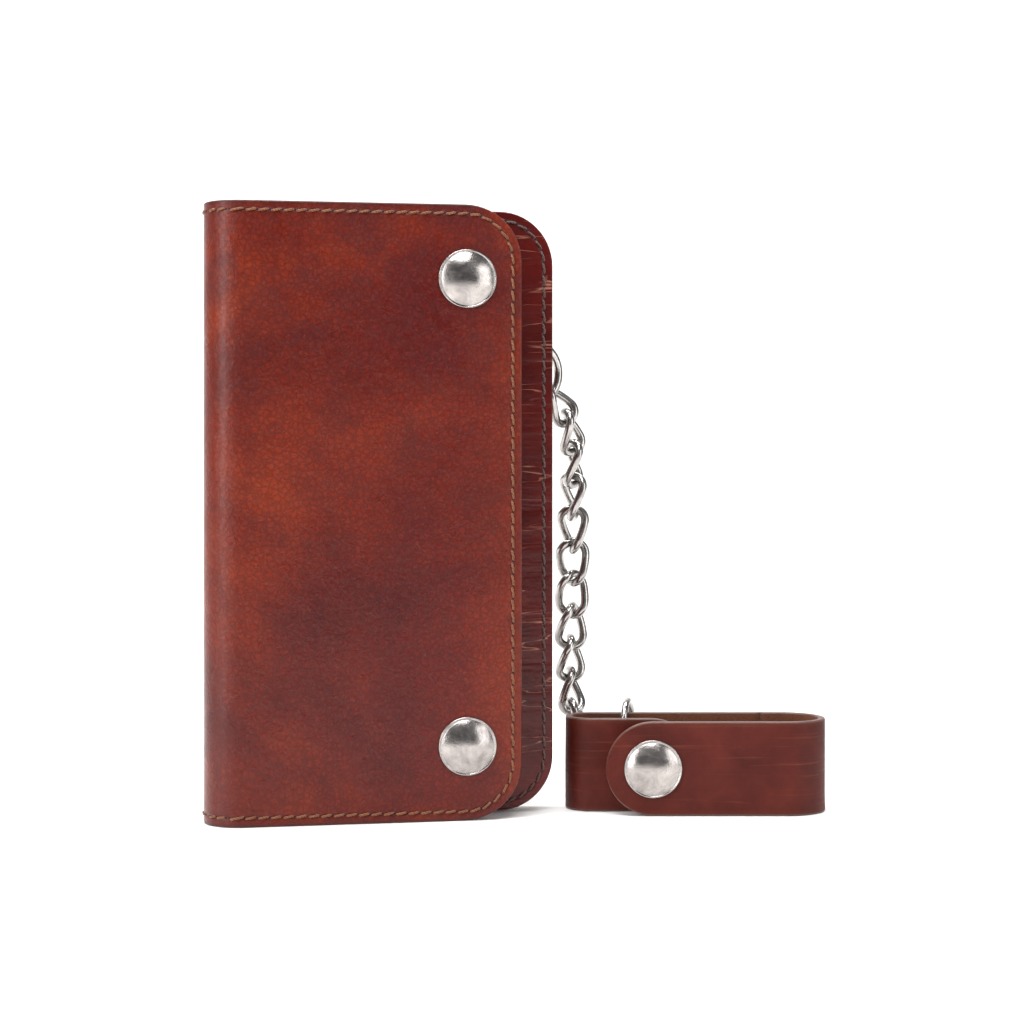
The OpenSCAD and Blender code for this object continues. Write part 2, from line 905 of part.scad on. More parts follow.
module loop_snap_socket() {
    color("darkgray")
        at_loop_snap(loop_front_v + strap_t)
            mirror([0, 0, 1])
                snap_socket();
}

module loop_snap_spring() {
    color("gray")
        at_loop_snap(loop_front_v + strap_t)
            mirror([0, 0, 1])
                snap_spring();
}

module loop_snap_stud() {
    color("silver")
        at_loop_snap(inner_end_v)
            snap_stud();
}

module loop_snap_eyelet() {
    color("darkgray")
        at_loop_snap(inner_end_v + strap_t)
            snap_eyelet(strap_t);
}

cover_back();
cover_spine_1();
cover_spine_2();
cover_spine_3();
cover_front();
back_lining();
bill_pocket();
coin_gusset();
coin_panel();
zip_binding();
zip_tape_left();
zip_tape_right();
zip_teeth_left();
zip_teeth_right();
zip_stops();
zip_slider();
zip_pull();
front_lining();
slip_pocket();
card_slot_1();
card_slot_2();
card_slot_3();
flap_snap_caps();
flap_snap_sockets();
flap_snap_springs();
flap_snap_studs();
flap_snap_eyelets();
chain_tab();
tab_rivets();
d_ring();
chain_link(0);  // chain_link_01
chain_link(1);  // chain_link_02
chain_link(2);  // chain_link_03
chain_link(3);  // chain_link_04
chain_link(4);  // chain_link_05
chain_link(5);  // chain_link_06
chain_link(6);  // chain_link_07
chain_link(7);  // chain_link_08
chain_link(8);  // chain_link_09
chain_link(9);  // chain_link_10
chain_link(10);  // chain_link_11
chain_link(11);  // chain_link_12
chain_link(12);  // chain_link_13
loop_ring();
loop_strap();
loop_tail();
loop_snap_cap();
loop_snap_socket();
loop_snap_spring();
loop_snap_stud();
loop_snap_eyelet();
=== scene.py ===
"""Chain wallet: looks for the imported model.

Lengths are in millimetres until a mesh is made. The camera and the lights are in metres."""
import math

import bmesh
import bpy
from mathutils import Matrix, Vector, noise


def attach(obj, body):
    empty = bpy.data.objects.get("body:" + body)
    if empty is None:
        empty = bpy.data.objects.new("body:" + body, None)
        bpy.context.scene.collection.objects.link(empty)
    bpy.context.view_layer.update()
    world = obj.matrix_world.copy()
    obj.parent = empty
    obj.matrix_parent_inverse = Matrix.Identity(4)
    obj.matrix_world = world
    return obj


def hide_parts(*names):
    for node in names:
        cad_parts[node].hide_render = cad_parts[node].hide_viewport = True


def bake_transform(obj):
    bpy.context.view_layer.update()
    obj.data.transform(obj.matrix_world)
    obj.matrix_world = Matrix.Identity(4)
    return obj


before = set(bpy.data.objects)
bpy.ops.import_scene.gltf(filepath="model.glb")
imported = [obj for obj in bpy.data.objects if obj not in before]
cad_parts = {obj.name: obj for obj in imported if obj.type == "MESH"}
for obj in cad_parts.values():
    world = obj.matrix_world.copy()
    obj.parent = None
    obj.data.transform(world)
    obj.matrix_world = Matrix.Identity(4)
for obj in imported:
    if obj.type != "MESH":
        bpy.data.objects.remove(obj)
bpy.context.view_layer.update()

MM = 0.001
TAU = 2 * math.pi

# ---- Camera ----

camera = bpy.data.objects.new("camera", bpy.data.cameras.new("camera"))
bpy.context.collection.objects.link(camera)
camera.location = (-0.0721, -0.6129, 0.107)
camera.rotation_euler = (math.radians(90), 0, math.radians(-10.4))
camera.data.lens = 73.0
camera.data.sensor_width = 36.0
camera.data.shift_y = -0.0605
camera.data.clip_start = 0.01
bpy.context.scene.camera = camera

# ---- Sizes, the same as the CAD model's ----

WALLET_H = 178.0
BACK_X = 51.5
FLAP_X = 39.5
CORNER_R = 16.5
LEATHER_T = 2.2
LINING_T = 0.8
POCKET_T = 1.2
PANEL_T = 1.4
LAYER_INSET = 0.6
LINING_INSET = 1.4
SEAM_W = 5.0
GUSSET_W = 6.0
SPINE_R = 11.0
SPINE_X = -40.5
SPINE_Y = -9.9
BACK_IN = -1.1
BACK_OUT = 1.1
BILL_Y = -1.9
DIVIDER_Y = -3.5
COIN_Y = -4.7
PANEL_Y = -8.3
STUD_Y = -9.7
SOCKET_Y = -15.3
SLIP_PANEL_Y = -16.5
SLIP_Y = -17.9
FRONT_OUT = -20.9
INNER_X = -36.5
ZIP_X = -27.0
ZIP_HALF = 4.0
CARD_X1 = 35.5
CARD_Z0 = 41.5
CARD_Z1 = 136.5
CARD_STEP = 9.0
CARD_GAP = 0.6
CARD_T = 1.0
SNAP_X = 23.5
SNAP_ZS = (21.5, 156.5)
CAP_R = 8.5
CAP_H = 2.8
STRAP_W = 27.5
STRAP_T = 2.0
LOOP_YAW = -10.4
RIGHT_BEND_U = 65.2
BACK_V = 12.0
FRONT_V = -12.0
INNER_END_V = -4.4
LEFT_BEND_R = 8.2
LOOP_SNAP = (25.25, 13.75)
WIRE_D = 2.6
LINK_W = 8.1
LINK_LEN = 13.3
RING_R = 7.0
RING_WIRE_R = 1.05
D_BOW_R = 9.0
D_WIRE_R = 1.3

# Stitching: pitch, distance from the edge and thread radius
STITCH_PITCH = 3.6
STITCH_IN = 2.7
THREAD_R = 0.36


def grain(x, z, scale, seed=0.0):
    """Smooth value from -1 to 1 that changes over about scale millimetres."""
    return noise.noise(Vector((x / scale + seed, z / scale - seed, seed)))


# ---- Node helpers ----


class Tree:
    """Short way to build a material's nodes."""

    def __init__(self, name):
        self.mat = bpy.data.materials.new(name)
        self.mat.use_nodes = True
        self.nodes = self.mat.node_tree.nodes
        self.links = self.mat.node_tree.links
        self.shader = self.nodes["Principled BSDF"]
        self.where = self.node("ShaderNodeTexCoord").outputs["Object"]

    def node(self, kind, **values):
        made = self.nodes.new(kind)
        for key, value in values.items():
            setattr(made, key, value)
        return made

    def put(self, socket, value):
        if isinstance(value, bpy.types.NodeSocket):
            self.links.new(value, socket)
        else:
            socket.default_value = value

    def scaled(self, sizes):
        made = self.node("ShaderNodeMapping")
        self.put(made.inputs["Vector"], self.where)
        made.inputs["Scale"].default_value = sizes
        return made.outputs["Vector"]

    def noise(self, scale, detail=4.0, rough=0.55, distort=0.0, vector=None):
        made = self.node("ShaderNodeTexNoise")
        self.put(made.inputs["Vector"], vector or self.where)
        made.inputs["Scale"].default_value = scale
        made.inputs["Detail"].default_value = detail
        made.inputs["Roughness"].default_value = rough
        made.inputs["Distortion"].default_value = distort
        return made.outputs["Fac"]

    def cells(self, scale, feature="F1", vector=None, smooth=0.4):
        made = self.node("ShaderNodeTexVoronoi", feature=feature)
        self.put(made.inputs["Vector"], vector or self.where)
        made.inputs["Scale"].default_value = scale
        if feature == "SMOOTH_F1":
            made.inputs["Smoothness"].default_value = smooth
        return made.outputs["Distance"]

    def ramp(self, fac, stops):
        made = self.node("ShaderNodeValToRGB")
        self.put(made.inputs["Fac"], fac)
        row = made.color_ramp.elements
        while len(row) < len(stops):
            row.new(0.5)
        for spot, (place, colour) in zip(row, stops):
            spot.position = place
            spot.color = colour if len(colour) == 4 else (*colour, 1)
        return made.outputs["Color"]

    def span(self, value, low, high, to_low=0.0, to_high=1.0):
        made = self.node("ShaderNodeMapRange")
        self.put(made.inputs["Value"], value)
        made.inputs["From Min"].default_value = low
        made.inputs["From Max"].default_value = high
        made.inputs["To Min"].default_value = to_low
        made.inputs["To Max"].default_value = to_high
        return made.outputs["Result"]

    def math(self, how, a, b=0.0):
        made = self.node("ShaderNodeMath", operation=how)
        self.put(made.inputs[0], a)
        self.put(made.inputs[1], b)
        return made.outputs[0]

    def mix(self, fac, a, b, how="MIX"):
        made = self.node("ShaderNodeMix", data_type="RGBA", blend_type=how)
        self.put(made.inputs["Factor"], fac)
        self.put(made.inputs[6], a if isinstance(a, bpy.types.NodeSocket) else (*a, 1))
        self.put(made.inputs[7], b if isinstance(b, bpy.types.NodeSocket) else (*b, 1))
        return made.outputs[2]

    def axis(self, name):
        made = self.node("ShaderNodeSeparateXYZ")
        self.put(made.inputs[0], self.where)
        return made.outputs[name]

    def bump(self, height, strength, distance, below=None):
        made = self.node("ShaderNodeBump")
        made.inputs["Strength"].default_value = strength
        made.inputs["Distance"].default_value = distance
        self.put(made.inputs["Height"], height)
        if below is not None:
            self.links.new(below, made.inputs["Normal"])
        return made.outputs["Normal"]

    def done(self, colour, rough, normal=None, metallic=0.0, **extra):
        plain = not isinstance(colour, bpy.types.NodeSocket)
        self.put(self.shader.inputs["Base Color"], (*colour, 1) if plain else colour)
        self.put(self.shader.inputs["Roughness"], rough)
        self.shader.inputs["Metallic"].default_value = metallic
        for key, value in extra.items():
            self.shader.inputs[key.replace("_", " ")].default_value = value
        if normal is not None:
            self.links.new(normal, self.shader.inputs["Normal"])
        return self.mat

# ---- Materials ----


def cover_leather():
    t = Tree("cover_leather")
    large = t.noise(20, 3, 0.5, 0.6)
    middle = t.noise(90, 3, 0.55, 0.3)
    fine = t.noise(1300, 4, 0.65)
    tone = t.ramp(large, [(0.30, (0.062, 0.0030, 0.0028)), (0.46, (0.092, 0.0048, 0.0024)),
                          (0.58, (0.130, 0.0090, 0.0022)), (0.72, (0.175, 0.0180, 0.0030))])
    left = t.span(t.axis("X"), 0.006, -0.036, 0, 0.6)
    right = t.span(t.axis("X"), 0.022, 0.037, 0, 0.55)
    warm = t.math("MULTIPLY", t.math("MAXIMUM", left, right), t.span(large, 0.30, 0.62))
    tone = t.mix(warm, tone, (0.200, 0.0215, 0.0035))
    tone = t.mix(t.span(middle, 0.45, 0.72, 0, 0.42), tone, (0.054, 0.0030, 0.0022))
    high = t.span(t.axis("Z"), 0.09, 0.165, 0, 0.60)
    tone = t.mix(t.math("MULTIPLY", high, t.span(middle, 0.30, 0.62)), tone, (0.072, 0.0050, 0.0052))
    bent = t.node("ShaderNodeMix", data_type="VECTOR")
    t.put(bent.inputs["Factor"], 0.0008)
    t.put(bent.inputs[4], t.where)
    wobble = t.node("ShaderNodeTexNoise")
    t.put(wobble.inputs["Vector"], t.where)
    wobble.inputs["Scale"].default_value = 420
    t.put(bent.inputs[5], wobble.outputs["Color"])
    folds = t.cells(600, "DISTANCE_TO_EDGE", vector=bent.outputs[1])
    groove = t.span(folds, 0.30, 0.02)
    tone = t.mix(t.math("MULTIPLY", groove, 0.38), tone, (0.018, 0.0016, 0.0014))
    tone = t.mix(t.span(fine, 0.54, 0.74, 0.0, 0.22), tone, (0.27, 0.060, 0.030))
    top = t.span(t.axis("Z"), 0.1765, 0.1782, 0, 0.8)
    foot = t.span(t.axis("Z"), 0.0014, -0.0002, 0, 0.75)
    tone = t.mix(t.math("MAXIMUM", top, foot), tone, (0.022, 0.006, 0.005))
    crease = t.noise(330, 6, 0.68, 0.8)
    relief = t.bump(groove, -0.9, 0.0003)
    relief = t.bump(crease, 0.50, 0.0006, relief)
    relief = t.bump(fine, 0.30, 0.0002, relief)
    relief = t.bump(t.span(t.cells(2300), 0.0, 0.25), 0.15, 0.0001, relief)
    gloss = t.span(t.math("ADD", large, middle), 0.75, 1.25, 0.24, 0.38)
    return t.done(tone, gloss, relief, Coat_Weight=0.06, Coat_Roughness=0.18, Specular_IOR_Level=0.27)


def glazed_leather():
    t = Tree("glazed_leather")
    warp = t.noise(1.0, 3, 0.5, 0.5, t.scaled((22, 22, 165)))
    tone = t.ramp(t.noise(60, 4, 0.6), [(0.3, (0.042, 0.0028, 0.0022)), (0.55, (0.072, 0.0042, 0.0030)),
                                        (0.75, (0.105, 0.0075, 0.0045))])
    lines = t.ramp(warp, [(0.492, (0, 0, 0)), (0.499, (1, 1, 1)), (0.502, (1, 1, 1)), (0.509, (0, 0, 0))])
    patch = t.span(t.noise(1.0, 2, 0.5, 0.3, t.scaled((90, 90, 110))), 0.44, 0.56)
    where = t.math("MULTIPLY", lines, patch)
    tone = t.mix(t.math("MULTIPLY", where, 0.75), tone, (0.36, 0.150, 0.105))
    relief = t.bump(warp, 0.35, 0.0012)
    relief = t.bump(where, -0.5, 0.0003, relief)
    relief = t.bump(t.cells(900, "SMOOTH_F1"), 0.16, 0.0002, relief)
    return t.done(tone, t.span(warp, 0.3, 0.7, 0.20, 0.32), relief,
                  Coat_Weight=0.05, Coat_Roughness=0.12, Specular_IOR_Level=0.25)


def satin_leather(name, dark, light, gloss, scale=1.0):
    t = Tree(name)
    tone = t.mix(t.noise(46 * scale, 5, 0.6, 0.3), dark, light)
    tone = t.mix(t.span(t.noise(700), 0.4, 0.7, 0, 0.3), tone, tuple(c * 0.5 for c in dark))
    relief = t.bump(t.cells(1150, "SMOOTH_F1", smooth=0.5), 0.3, 0.0003)
    relief = t.bump(t.noise(240, 6, 0.65, 0.5), 0.3, 0.0005, relief)
    return t.done(tone, t.span(t.noise(80), 0.3, 0.7, gloss, gloss + 0.14), relief, Specular_IOR_Level=0.3)


def strap_leather():
    t = Tree("strap_leather")
    along = t.scaled((26, 26, 900))
    scratch = t.noise(1.0, 4, 0.6, 0.3, along)
    tone = t.ramp(t.noise(70, 5, 0.6, 0.4), [(0.28, (0.045, 0.0045, 0.0024)), (0.5, (0.066, 0.0070, 0.0036)),
                                             (0.75, (0.092, 0.0125, 0.0065))])
    tone = t.mix(t.span(scratch, 0.58, 0.74, 0, 0.42), tone, (0.17, 0.048, 0.028))
    tone = t.mix(t.span(scratch, 0.38, 0.26, 0, 0.4), tone, (0.038, 0.0080, 0.0065))
    high, low = t.span(t.axis("Z"), 0.0258, 0.0275, 0, 0.6), t.span(t.axis("Z"), 0.0016, 0.0, 0, 0.6)
    edge = t.math("MAXIMUM", high, low)
    tone = t.mix(edge, tone, (0.085, 0.024, 0.012))
    relief = t.bump(scratch, 0.28, 0.0003)
    relief = t.bump(t.cells(1500, "SMOOTH_F1"), 0.20, 0.0002, relief)
    relief = t.bump(t.noise(300, 6, 0.6), 0.25, 0.0003, relief)
    return t.done(tone, t.span(scratch, 0.3, 0.7, 0.50, 0.64), relief, Specular_IOR_Level=0.2)


def suede():
    t = Tree("suede")
    nap = t.noise(1700, 6, 0.75, 1.2)
    tone = t.mix(t.noise(60, 4), (0.060, 0.0145, 0.0050), (0.115, 0.032, 0.013))
    tone = t.mix(t.span(nap, 0.3, 0.7, 0, 0.6), tone, (0.20, 0.088, 0.052))
    relief = t.bump(nap, 0.7, 0.0006)
    return t.done(tone, 0.92, relief, Sheen_Weight=0.05, Sheen_Roughness=0.6, Specular_IOR_Level=0.15)


def raw_edge():
    t = Tree("burnished_edge")
    layers = t.noise(1.0, 4, 0.6, 0.2, t.scaled((500, 2600, 500)))
    tone = t.mix(layers, (0.036, 0.010, 0.008), (0.125, 0.045, 0.028))
    return t.done(tone, 0.42, t.bump(layers, 0.4, 0.0003))


def thread(name, dark, light):
    t = Tree(name)
    twist = t.node("ShaderNodeTexWave", wave_type="BANDS", bands_direction="DIAGONAL")
    t.put(twist.inputs["Vector"], t.where)
    twist.inputs["Scale"].default_value = 700
    twist.inputs["Distortion"].default_value = 1.5
    fibre = twist.outputs["Fac"]
    tone = t.mix(t.math("MULTIPLY", fibre, t.noise(500)), dark, light)
    return t.done(tone, 0.55, t.bump(fibre, 0.6, 0.0002), Sheen_Weight=0.2)


def metal(name, dark, light, rough, scratch=0.15, wear=0.5):
    t = Tree(name)
    cloud = t.noise(190, 6, 0.7, 0.4)
    fine = t.noise(1.0, 3, 0.6, 0.0, t.scaled((2600, 700, 2200)))
    tone = t.mix(t.span(cloud, 0.35, 0.66), dark, light)
    tone = t.mix(t.span(fine, 0.62, 0.75, 0, wear), tone, tuple(c * 0.45 for c in dark))
    relief = t.bump(fine, scratch, 0.00008)
    relief = t.bump(t.noise(150, 2), 0.10, 0.0003, relief)
    return t.done(tone, t.span(t.math("ADD", cloud, fine), 0.7, 1.3, rough, rough + 0.14), relief, metallic=1.0)


def woven(name, dark, light):
    t = Tree(name)
    cross = t.node("ShaderNodeTexWave", wave_type="BANDS", bands_direction="Z")
    t.put(cross.inputs["Vector"], t.where)
    cross.inputs["Scale"].default_value = 420
    cross.inputs["Distortion"].default_value = 0.8
    along = t.node("ShaderNodeTexWave", wave_type="BANDS", bands_direction="X")
    t.put(along.inputs["Vector"], t.where)
    along.inputs["Scale"].default_value = 460
    weave = t.math("MAXIMUM", cross.outputs["Fac"], along.outputs["Fac"])
    tone = t.mix(weave, dark, light)
    return t.done(tone, 0.85, t.bump(weave, 0.7, 0.0003), Sheen_Weight=0.3)


def hole_shade():
    t = Tree("needle_hole")
    tone = t.mix(t.noise(900), (0.008, 0.004, 0.003), (0.022, 0.009, 0.007))
    return t.done(tone, 0.9)


def floor_finish():
    t = Tree("table")
    tone = t.mix(t.noise(6, 3), (0.80, 0.79, 0.78), (0.84, 0.83, 0.82))
    t.shader.inputs["Emission Color"].default_value = (1.0, 0.99, 0.98, 1)
    return t.done(tone, 0.6, t.bump(t.noise(400, 3), 0.03, 0.0003), Emission_Strength=0.04)


MATS = {
    "cover": cover_leather(),
    "glazed": glazed_leather(),
    "pocket": satin_leather("pocket_leather", (0.075, 0.012, 0.008), (0.135, 0.027, 0.014), 0.34),
    "lining": satin_leather("lining_leather", (0.120, 0.042, 0.020), (0.205, 0.080, 0.040), 0.52, 0.7),
    "strap": strap_leather(),
    "suede": suede(),
    "edge": raw_edge(),
    "gold_thread": thread("gold_thread", (0.110, 0.026, 0.003), (0.300, 0.095, 0.010)),
    "grey_thread": thread("grey_thread", (0.050, 0.020, 0.014), (0.135, 0.066, 0.048)),
    "nickel": metal("nickel", (0.27, 0.245, 0.235), (0.52, 0.485, 0.46), 0.15, 0.35),
    "steel": metal("chain_steel", (0.30, 0.285, 0.275), (0.55, 0.53, 0.51), 0.15, 0.2, 0.3),
    "brass": metal("antique_brass", (0.26, 0.18, 0.09), (0.52, 0.38, 0.20), 0.24, 0.3),
    "tape": woven("zip_tape_weave", (0.030, 0.012, 0.010), (0.10, 0.042, 0.030)),
    "hole": hole_shade(),
    "floor": floor_finish(),
}

# The record's material slot for each finish
SLOTS = {
    "cover": "cover_leather",
    "glazed": "glazed_leather",
    "pocket": "pocket_leather",
    "lining": "lining_leather",
    "strap": "strap_leather",
    "nickel": "snap_nickel",
    "steel": "chain_steel",
    "brass": "zip_metal",
    "tape": "zip_tape",
}

# ---- Mesh helpers ----


def piece(name, points, faces, mats, face_mats=None, smooth=True, slot=None):
    """Makes a mesh object from points in millimetres."""
    mesh = bpy.data.meshes.new(name)
    mesh.from_pydata([(x * MM, y * MM, z * MM) for x, y, z in points], [], faces)
    for key in mats:
        mesh.materials.append(MATS[key])
    if face_mats:
        mesh.polygons.foreach_set("material_index", face_mats)
    mesh.polygons.foreach_set("use_smooth", [smooth] * len(mesh.polygons))
    shape = bmesh.new()
    shape.from_mesh(mesh)
    bmesh.ops.remove_doubles(shape, verts=shape.verts, dist=1e-7)
    bmesh.ops.recalc_face_normals(shape, faces=shape.faces)
    shape.to_mesh(mesh)
    shape.free()
    mesh.update()
    obj = bpy.data.objects.new(name, mesh)
    bpy.context.collection.objects.link(obj)
    slot = slot or SLOTS.get(mats[0])
    return obj


def grid_faces(rows, cols, wrap_rows=False, wrap_cols=False):
    faces = []
    for i in range(rows if wrap_rows else rows - 1):
        for k in range(cols if wrap_cols else cols - 1):
            a = i * cols + k
            b = i * cols + (k + 1) % cols
            c = ((i + 1) % rows) * cols + (k + 1) % cols
            d = ((i + 1) % rows) * cols + k
            faces.append((a, b, c, d))
    return faces


def lathe(name, profile, mats, place, sides=64, slot=None):
    """Turns a profile of (radius, height) round its axis.

    The first and last points lie on the axis or close the shape."""
    points = []
    for radius, height in profile:
        for k in range(sides):
            angle = TAU * k / sides
            points.append(place @ Vector((radius * math.cos(angle), radius * math.sin(angle), height)))
    faces = grid_faces(len(profile), sides, wrap_cols=True)
    if profile[0][0] > 0:
        faces.append(tuple(range(sides)))
    if profile[-1][0] > 0:
        start = (len(profile) - 1) * sides
        faces.append(tuple(reversed(range(start, start + sides))))
    return piece(name, points, faces, mats, slot=slot)


def tube(centres, radius, sides=14, closed=True, up=None):
    """Points and faces of a round wire along its centres."""
    count = len(centres)
    points = []
    normal = None
    for i, c in enumerate(centres):
        if closed:
            way = (centres[(i + 1) % count] - centres[i - 1]).normalized()
        else:
            way = (centres[min(i + 1, count - 1)] - centres[max(i - 1, 0)]).normalized()
        if up is not None:
            normal = (up[i] - way * up[i].dot(way)).normalized()
        elif normal is None:
            normal = way.orthogonal().normalized()
        else:
            normal = (normal - way * normal.dot(way)).normalized()
        other = way.cross(normal)
        for k in range(sides):
            angle = TAU * k / sides
            points.append(c + radius * (normal * math.cos(angle) + other * math.sin(angle)))
    faces = grid_faces(count, sides, wrap_rows=closed, wrap_cols=True)
    if not closed:
        faces.append(tuple(range(sides)))
        faces.append(tuple(reversed(range((count - 1) * sides, count * sides))))
    return points, faces


# ---- Leather sheets ----


def outline(x0, x1, inset, z0, z1, radius, left_radius=None, spacing=3.0):
    """Points round a sheet's outline in XZ. It is open at x0 unless left_radius rounds that side too."""
    a, b = z0 + inset, z1 - inset
    right = x1 - inset
    r = max(radius - inset, 0.25)
    arcs = 14
    left = x0 if left_radius is None else x0 + inset
    lr = 0.0 if left_radius is None else max(left_radius - inset, 0.2)
    across = max(4, round((x1 - x0) / spacing))
    up = max(4, round((z1 - z0) / spacing))
    points = []
    for k in range(across + 1):
        points.append((left + lr + (right - r - left - lr) * k / across, a))
    for k in range(1, arcs):
        t = math.pi / 2 * k / arcs
        points.append((right - r + r * math.sin(t), a + r - r * math.cos(t)))
    for k in range(up + 1):
        points.append((right, a + r + (b - a - 2 * r) * k / up))
    for k in range(1, arcs):
        t = math.pi / 2 * k / arcs
        points.append((right - r + r * math.cos(t), b - r + r * math.sin(t)))
    for k in range(across + 1):
        points.append((right - r + (left + lr - right + r) * k / across, b))
    if left_radius is None:
        return points
    for k in range(1, 6):
        t = math.pi / 2 * k / 6
        points.append((left + lr - lr * math.sin(t), b - lr + lr * math.cos(t)))
    for k in range(up + 1):
        points.append((left, b - lr + (a - b + 2 * lr) * k / up))
    for k in range(1, 6):
        t = math.pi / 2 * k / 6
        points.append((left + lr - lr * math.cos(t), a + lr - lr * math.sin(t)))
    return points


def section(thick, rounding, stitched, deep=0.16, middle=12):
    """Rings of a sheet from the middle of its outer face, over the edge, to the middle of its inner face.

    Each is (share of the way from the middle, distance in from the edge, depth below the outer face)."""
    rim = 6.0
    rings = [(k / middle, rim, 0.0) for k in range(middle)]
    steps = [(6.0, 0.0), (4.6, 0.0), (3.5, 0.0)]
    if stitched:
        steps += [(3.15, 0.25), (2.9, 0.8), (2.7, 1.0), (2.5, 0.8), (2.25, 0.25), (1.9, 0.0)]
    steps += [(1.5, 0.0), (1.1, 0.0)]
    rings += [(1.0, d, deep * g) for d, g in steps]
    for k in range(7):
        t = math.pi / 2 * k / 6
        rings.append((1.0, rounding * (1 - math.sin(t)), rounding * (1 - math.cos(t))))
    for k in range(6, -1, -1):
        t = math.pi / 2 * k / 6
        rings.append((1.0, rounding * (1 - math.sin(t)), thick - rounding * (1 - math.cos(t))))
    rings += [(1.0, 1.5, thick), (1.0, 6.0, thick), (0.6, 6.0, thick), (0.2, 6.0, thick), (0.0, 6.0, thick)]
    return rings


def sheet(name, x0, x1, y_out, inward, thick, mats, inset=0.0, z0=0.0, z1=WALLET_H, radius=CORNER_R,
          left_radius=None, stitched=False, wave=0.12, rounding=0.55, seed=1.0, slot=None):
    """Leather sheet whose outer face is at y_out and whose thickness runs along inward (+1 or -1 in Y)."""
    rings = section(thick, rounding, stitched)
    middle = ((x0 if left_radius is None else (x0 + x1) / 2), (z0 + z1) / 2)
    points = []
    face_mats = []
    for share, d, depth in rings:
        for x, z in outline(x0, x1, inset + d, z0, z1, radius, left_radius):
            x = middle[0] + (x - middle[0]) * share
            z = middle[1] + (z - middle[1]) * share
            near = min(1.0, (x - x0) / 12) if left_radius is None else 1.0
            lift = wave * near * (1 - share ** 6) * (grain(x, z, 26, seed) + 0.5 * grain(x, z, 11, seed + 3))
            points.append((x, y_out + inward * (depth + (lift if depth < thick * 0.5 else 0)), z))
    count = len(points) // len(rings)
    faces = grid_faces(len(rings), count, wrap_cols=left_radius is not None)
    if len(mats) > 1:
        per_row = count if left_radius is not None else count - 1
        for i in range(len(rings) - 1):
            share, d, depth = rings[i]
            kind = 0
            if share == 1.0 and 0.25 * thick < (depth + rings[i + 1][2]) / 2 < 0.8 * thick:
                kind = 1
            elif depth >= thick * 0.8 and len(mats) > 2:
                kind = 2
            face_mats += [kind] * per_row
    return piece(name, points, faces, mats, face_mats or None, slot=slot)


def spine_strip(name, a0, a1, mats, steps=16):
    """Part of the cover's spine from one angle to another, in step with the two flat sheets' rings."""
    rings = section(LEATHER_T, 0.55, True)
    mid = WALLET_H / 2
    low = [(mid + (d - mid) * share, depth) for share, d, depth in rings]
    loop = low + [(WALLET_H - z, depth) for z, depth in reversed(low)]
    points = []
    for i in range(steps + 1):
        t = math.radians(90 + a0 + (a1 - a0) * i / steps)
        for z, depth in loop:
            r = SPINE_R - depth
            points.append((SPINE_X + r * math.cos(t), SPINE_Y + r * math.sin(t), z))
    faces = grid_faces(steps + 1, len(loop), wrap_cols=True)
    kinds = []
    for i in range(steps):
        for k in range(len(loop)):
            depth = (loop[k][1] + loop[(k + 1) % len(loop)][1]) / 2
            if depth >= 0.8 * LEATHER_T:
                kinds.append(2)
            else:
                kinds.append(1 if depth > 0.25 * LEATHER_T else 0)
    return piece(name, points, faces, mats, kinds)


# ---- Stitching ----


class Stitches:
    """Thread stitches and the needle holes between them, gathered for one body."""

    def __init__(self):
        self.points, self.faces, self.kinds = [], [], []

    def _add(self, points, faces, kind):
        start = len(self.points)
        self.points += [tuple(p) for p in points]
        self.faces += [tuple(start + v for v in f) for f in faces]
        self.kinds += [kind] * len(faces)

    def stitch(self, at, along, out, length, lean=9.0):
        side = out.cross(along)
        way = (Matrix.Rotation(math.radians(lean), 3, out) @ along).normalized()
        centres = []
        for k in range(7):
            s = k / 3 - 1
            centres.append(at + way * (s * length / 2) + out * (0.30 - 0.62 * s ** 4) + side * 0.04 * s)
        points, faces = tube(centres, THREAD_R, 8, False)
        self._add(points, faces, 0)

    def hole(self, at, along, out):
        side = out.cross(along)
        points = []
        for r, h in ((0.0, 0.05), (0.26, 0.045), (0.42, 0.0), (0.44, -0.12)):
            for k in range(8):
                t = TAU * k / 8
                points.append(at + (along * math.cos(t) * 0.85 + side * math.sin(t)) * r + out * h)
        faces = grid_faces(4, 8, wrap_cols=True)
        faces.append(tuple(reversed(range(24, 32))))
        self._add(points, faces, 1)

    def along(self, path, out, lean=9.0, pitch=STITCH_PITCH, groove=0.12):
        """Stitches along a path of points. out gives the surface's outward direction at a point."""
        lengths = [0.0]
        for a, b in zip(path, path[1:]):
            lengths.append(lengths[-1] + (b - a).length)
        count = max(1, round(lengths[-1] / pitch))
        step = lengths[-1] / count

        def spot(s):
            s = min(max(s, 0), lengths[-1])
            k = 0
            while k < len(lengths) - 2 and lengths[k + 1] < s:
                k += 1
            share = (s - lengths[k]) / max(lengths[k + 1] - lengths[k], 1e-9)
            return path[k].lerp(path[k + 1], share), (path[k + 1] - path[k]).normalized()

        for k in range(count + 1):
            at, way = spot(k * step)
            face = out(at)
            way = (way - face * way.dot(face)).normalized()
            self.hole(at - face * groove, way, face)
            if k < count:
                at, way = spot((k + 0.5) * step)
                face = out(at)
                way = (way - face * way.dot(face)).normalized()
                wobble = 1.5 * grain(at.x + at.z, at.y, 2.3, 7.0)
                self.stitch(at - face * groove, way, face, step - 0.75, lean + wobble)

    def make(self, name, body, colour="gold_thread"):
        obj = piece(name, self.points, self.faces, (colour, "hole"), self.kinds)
        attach(obj, body)
        return obj


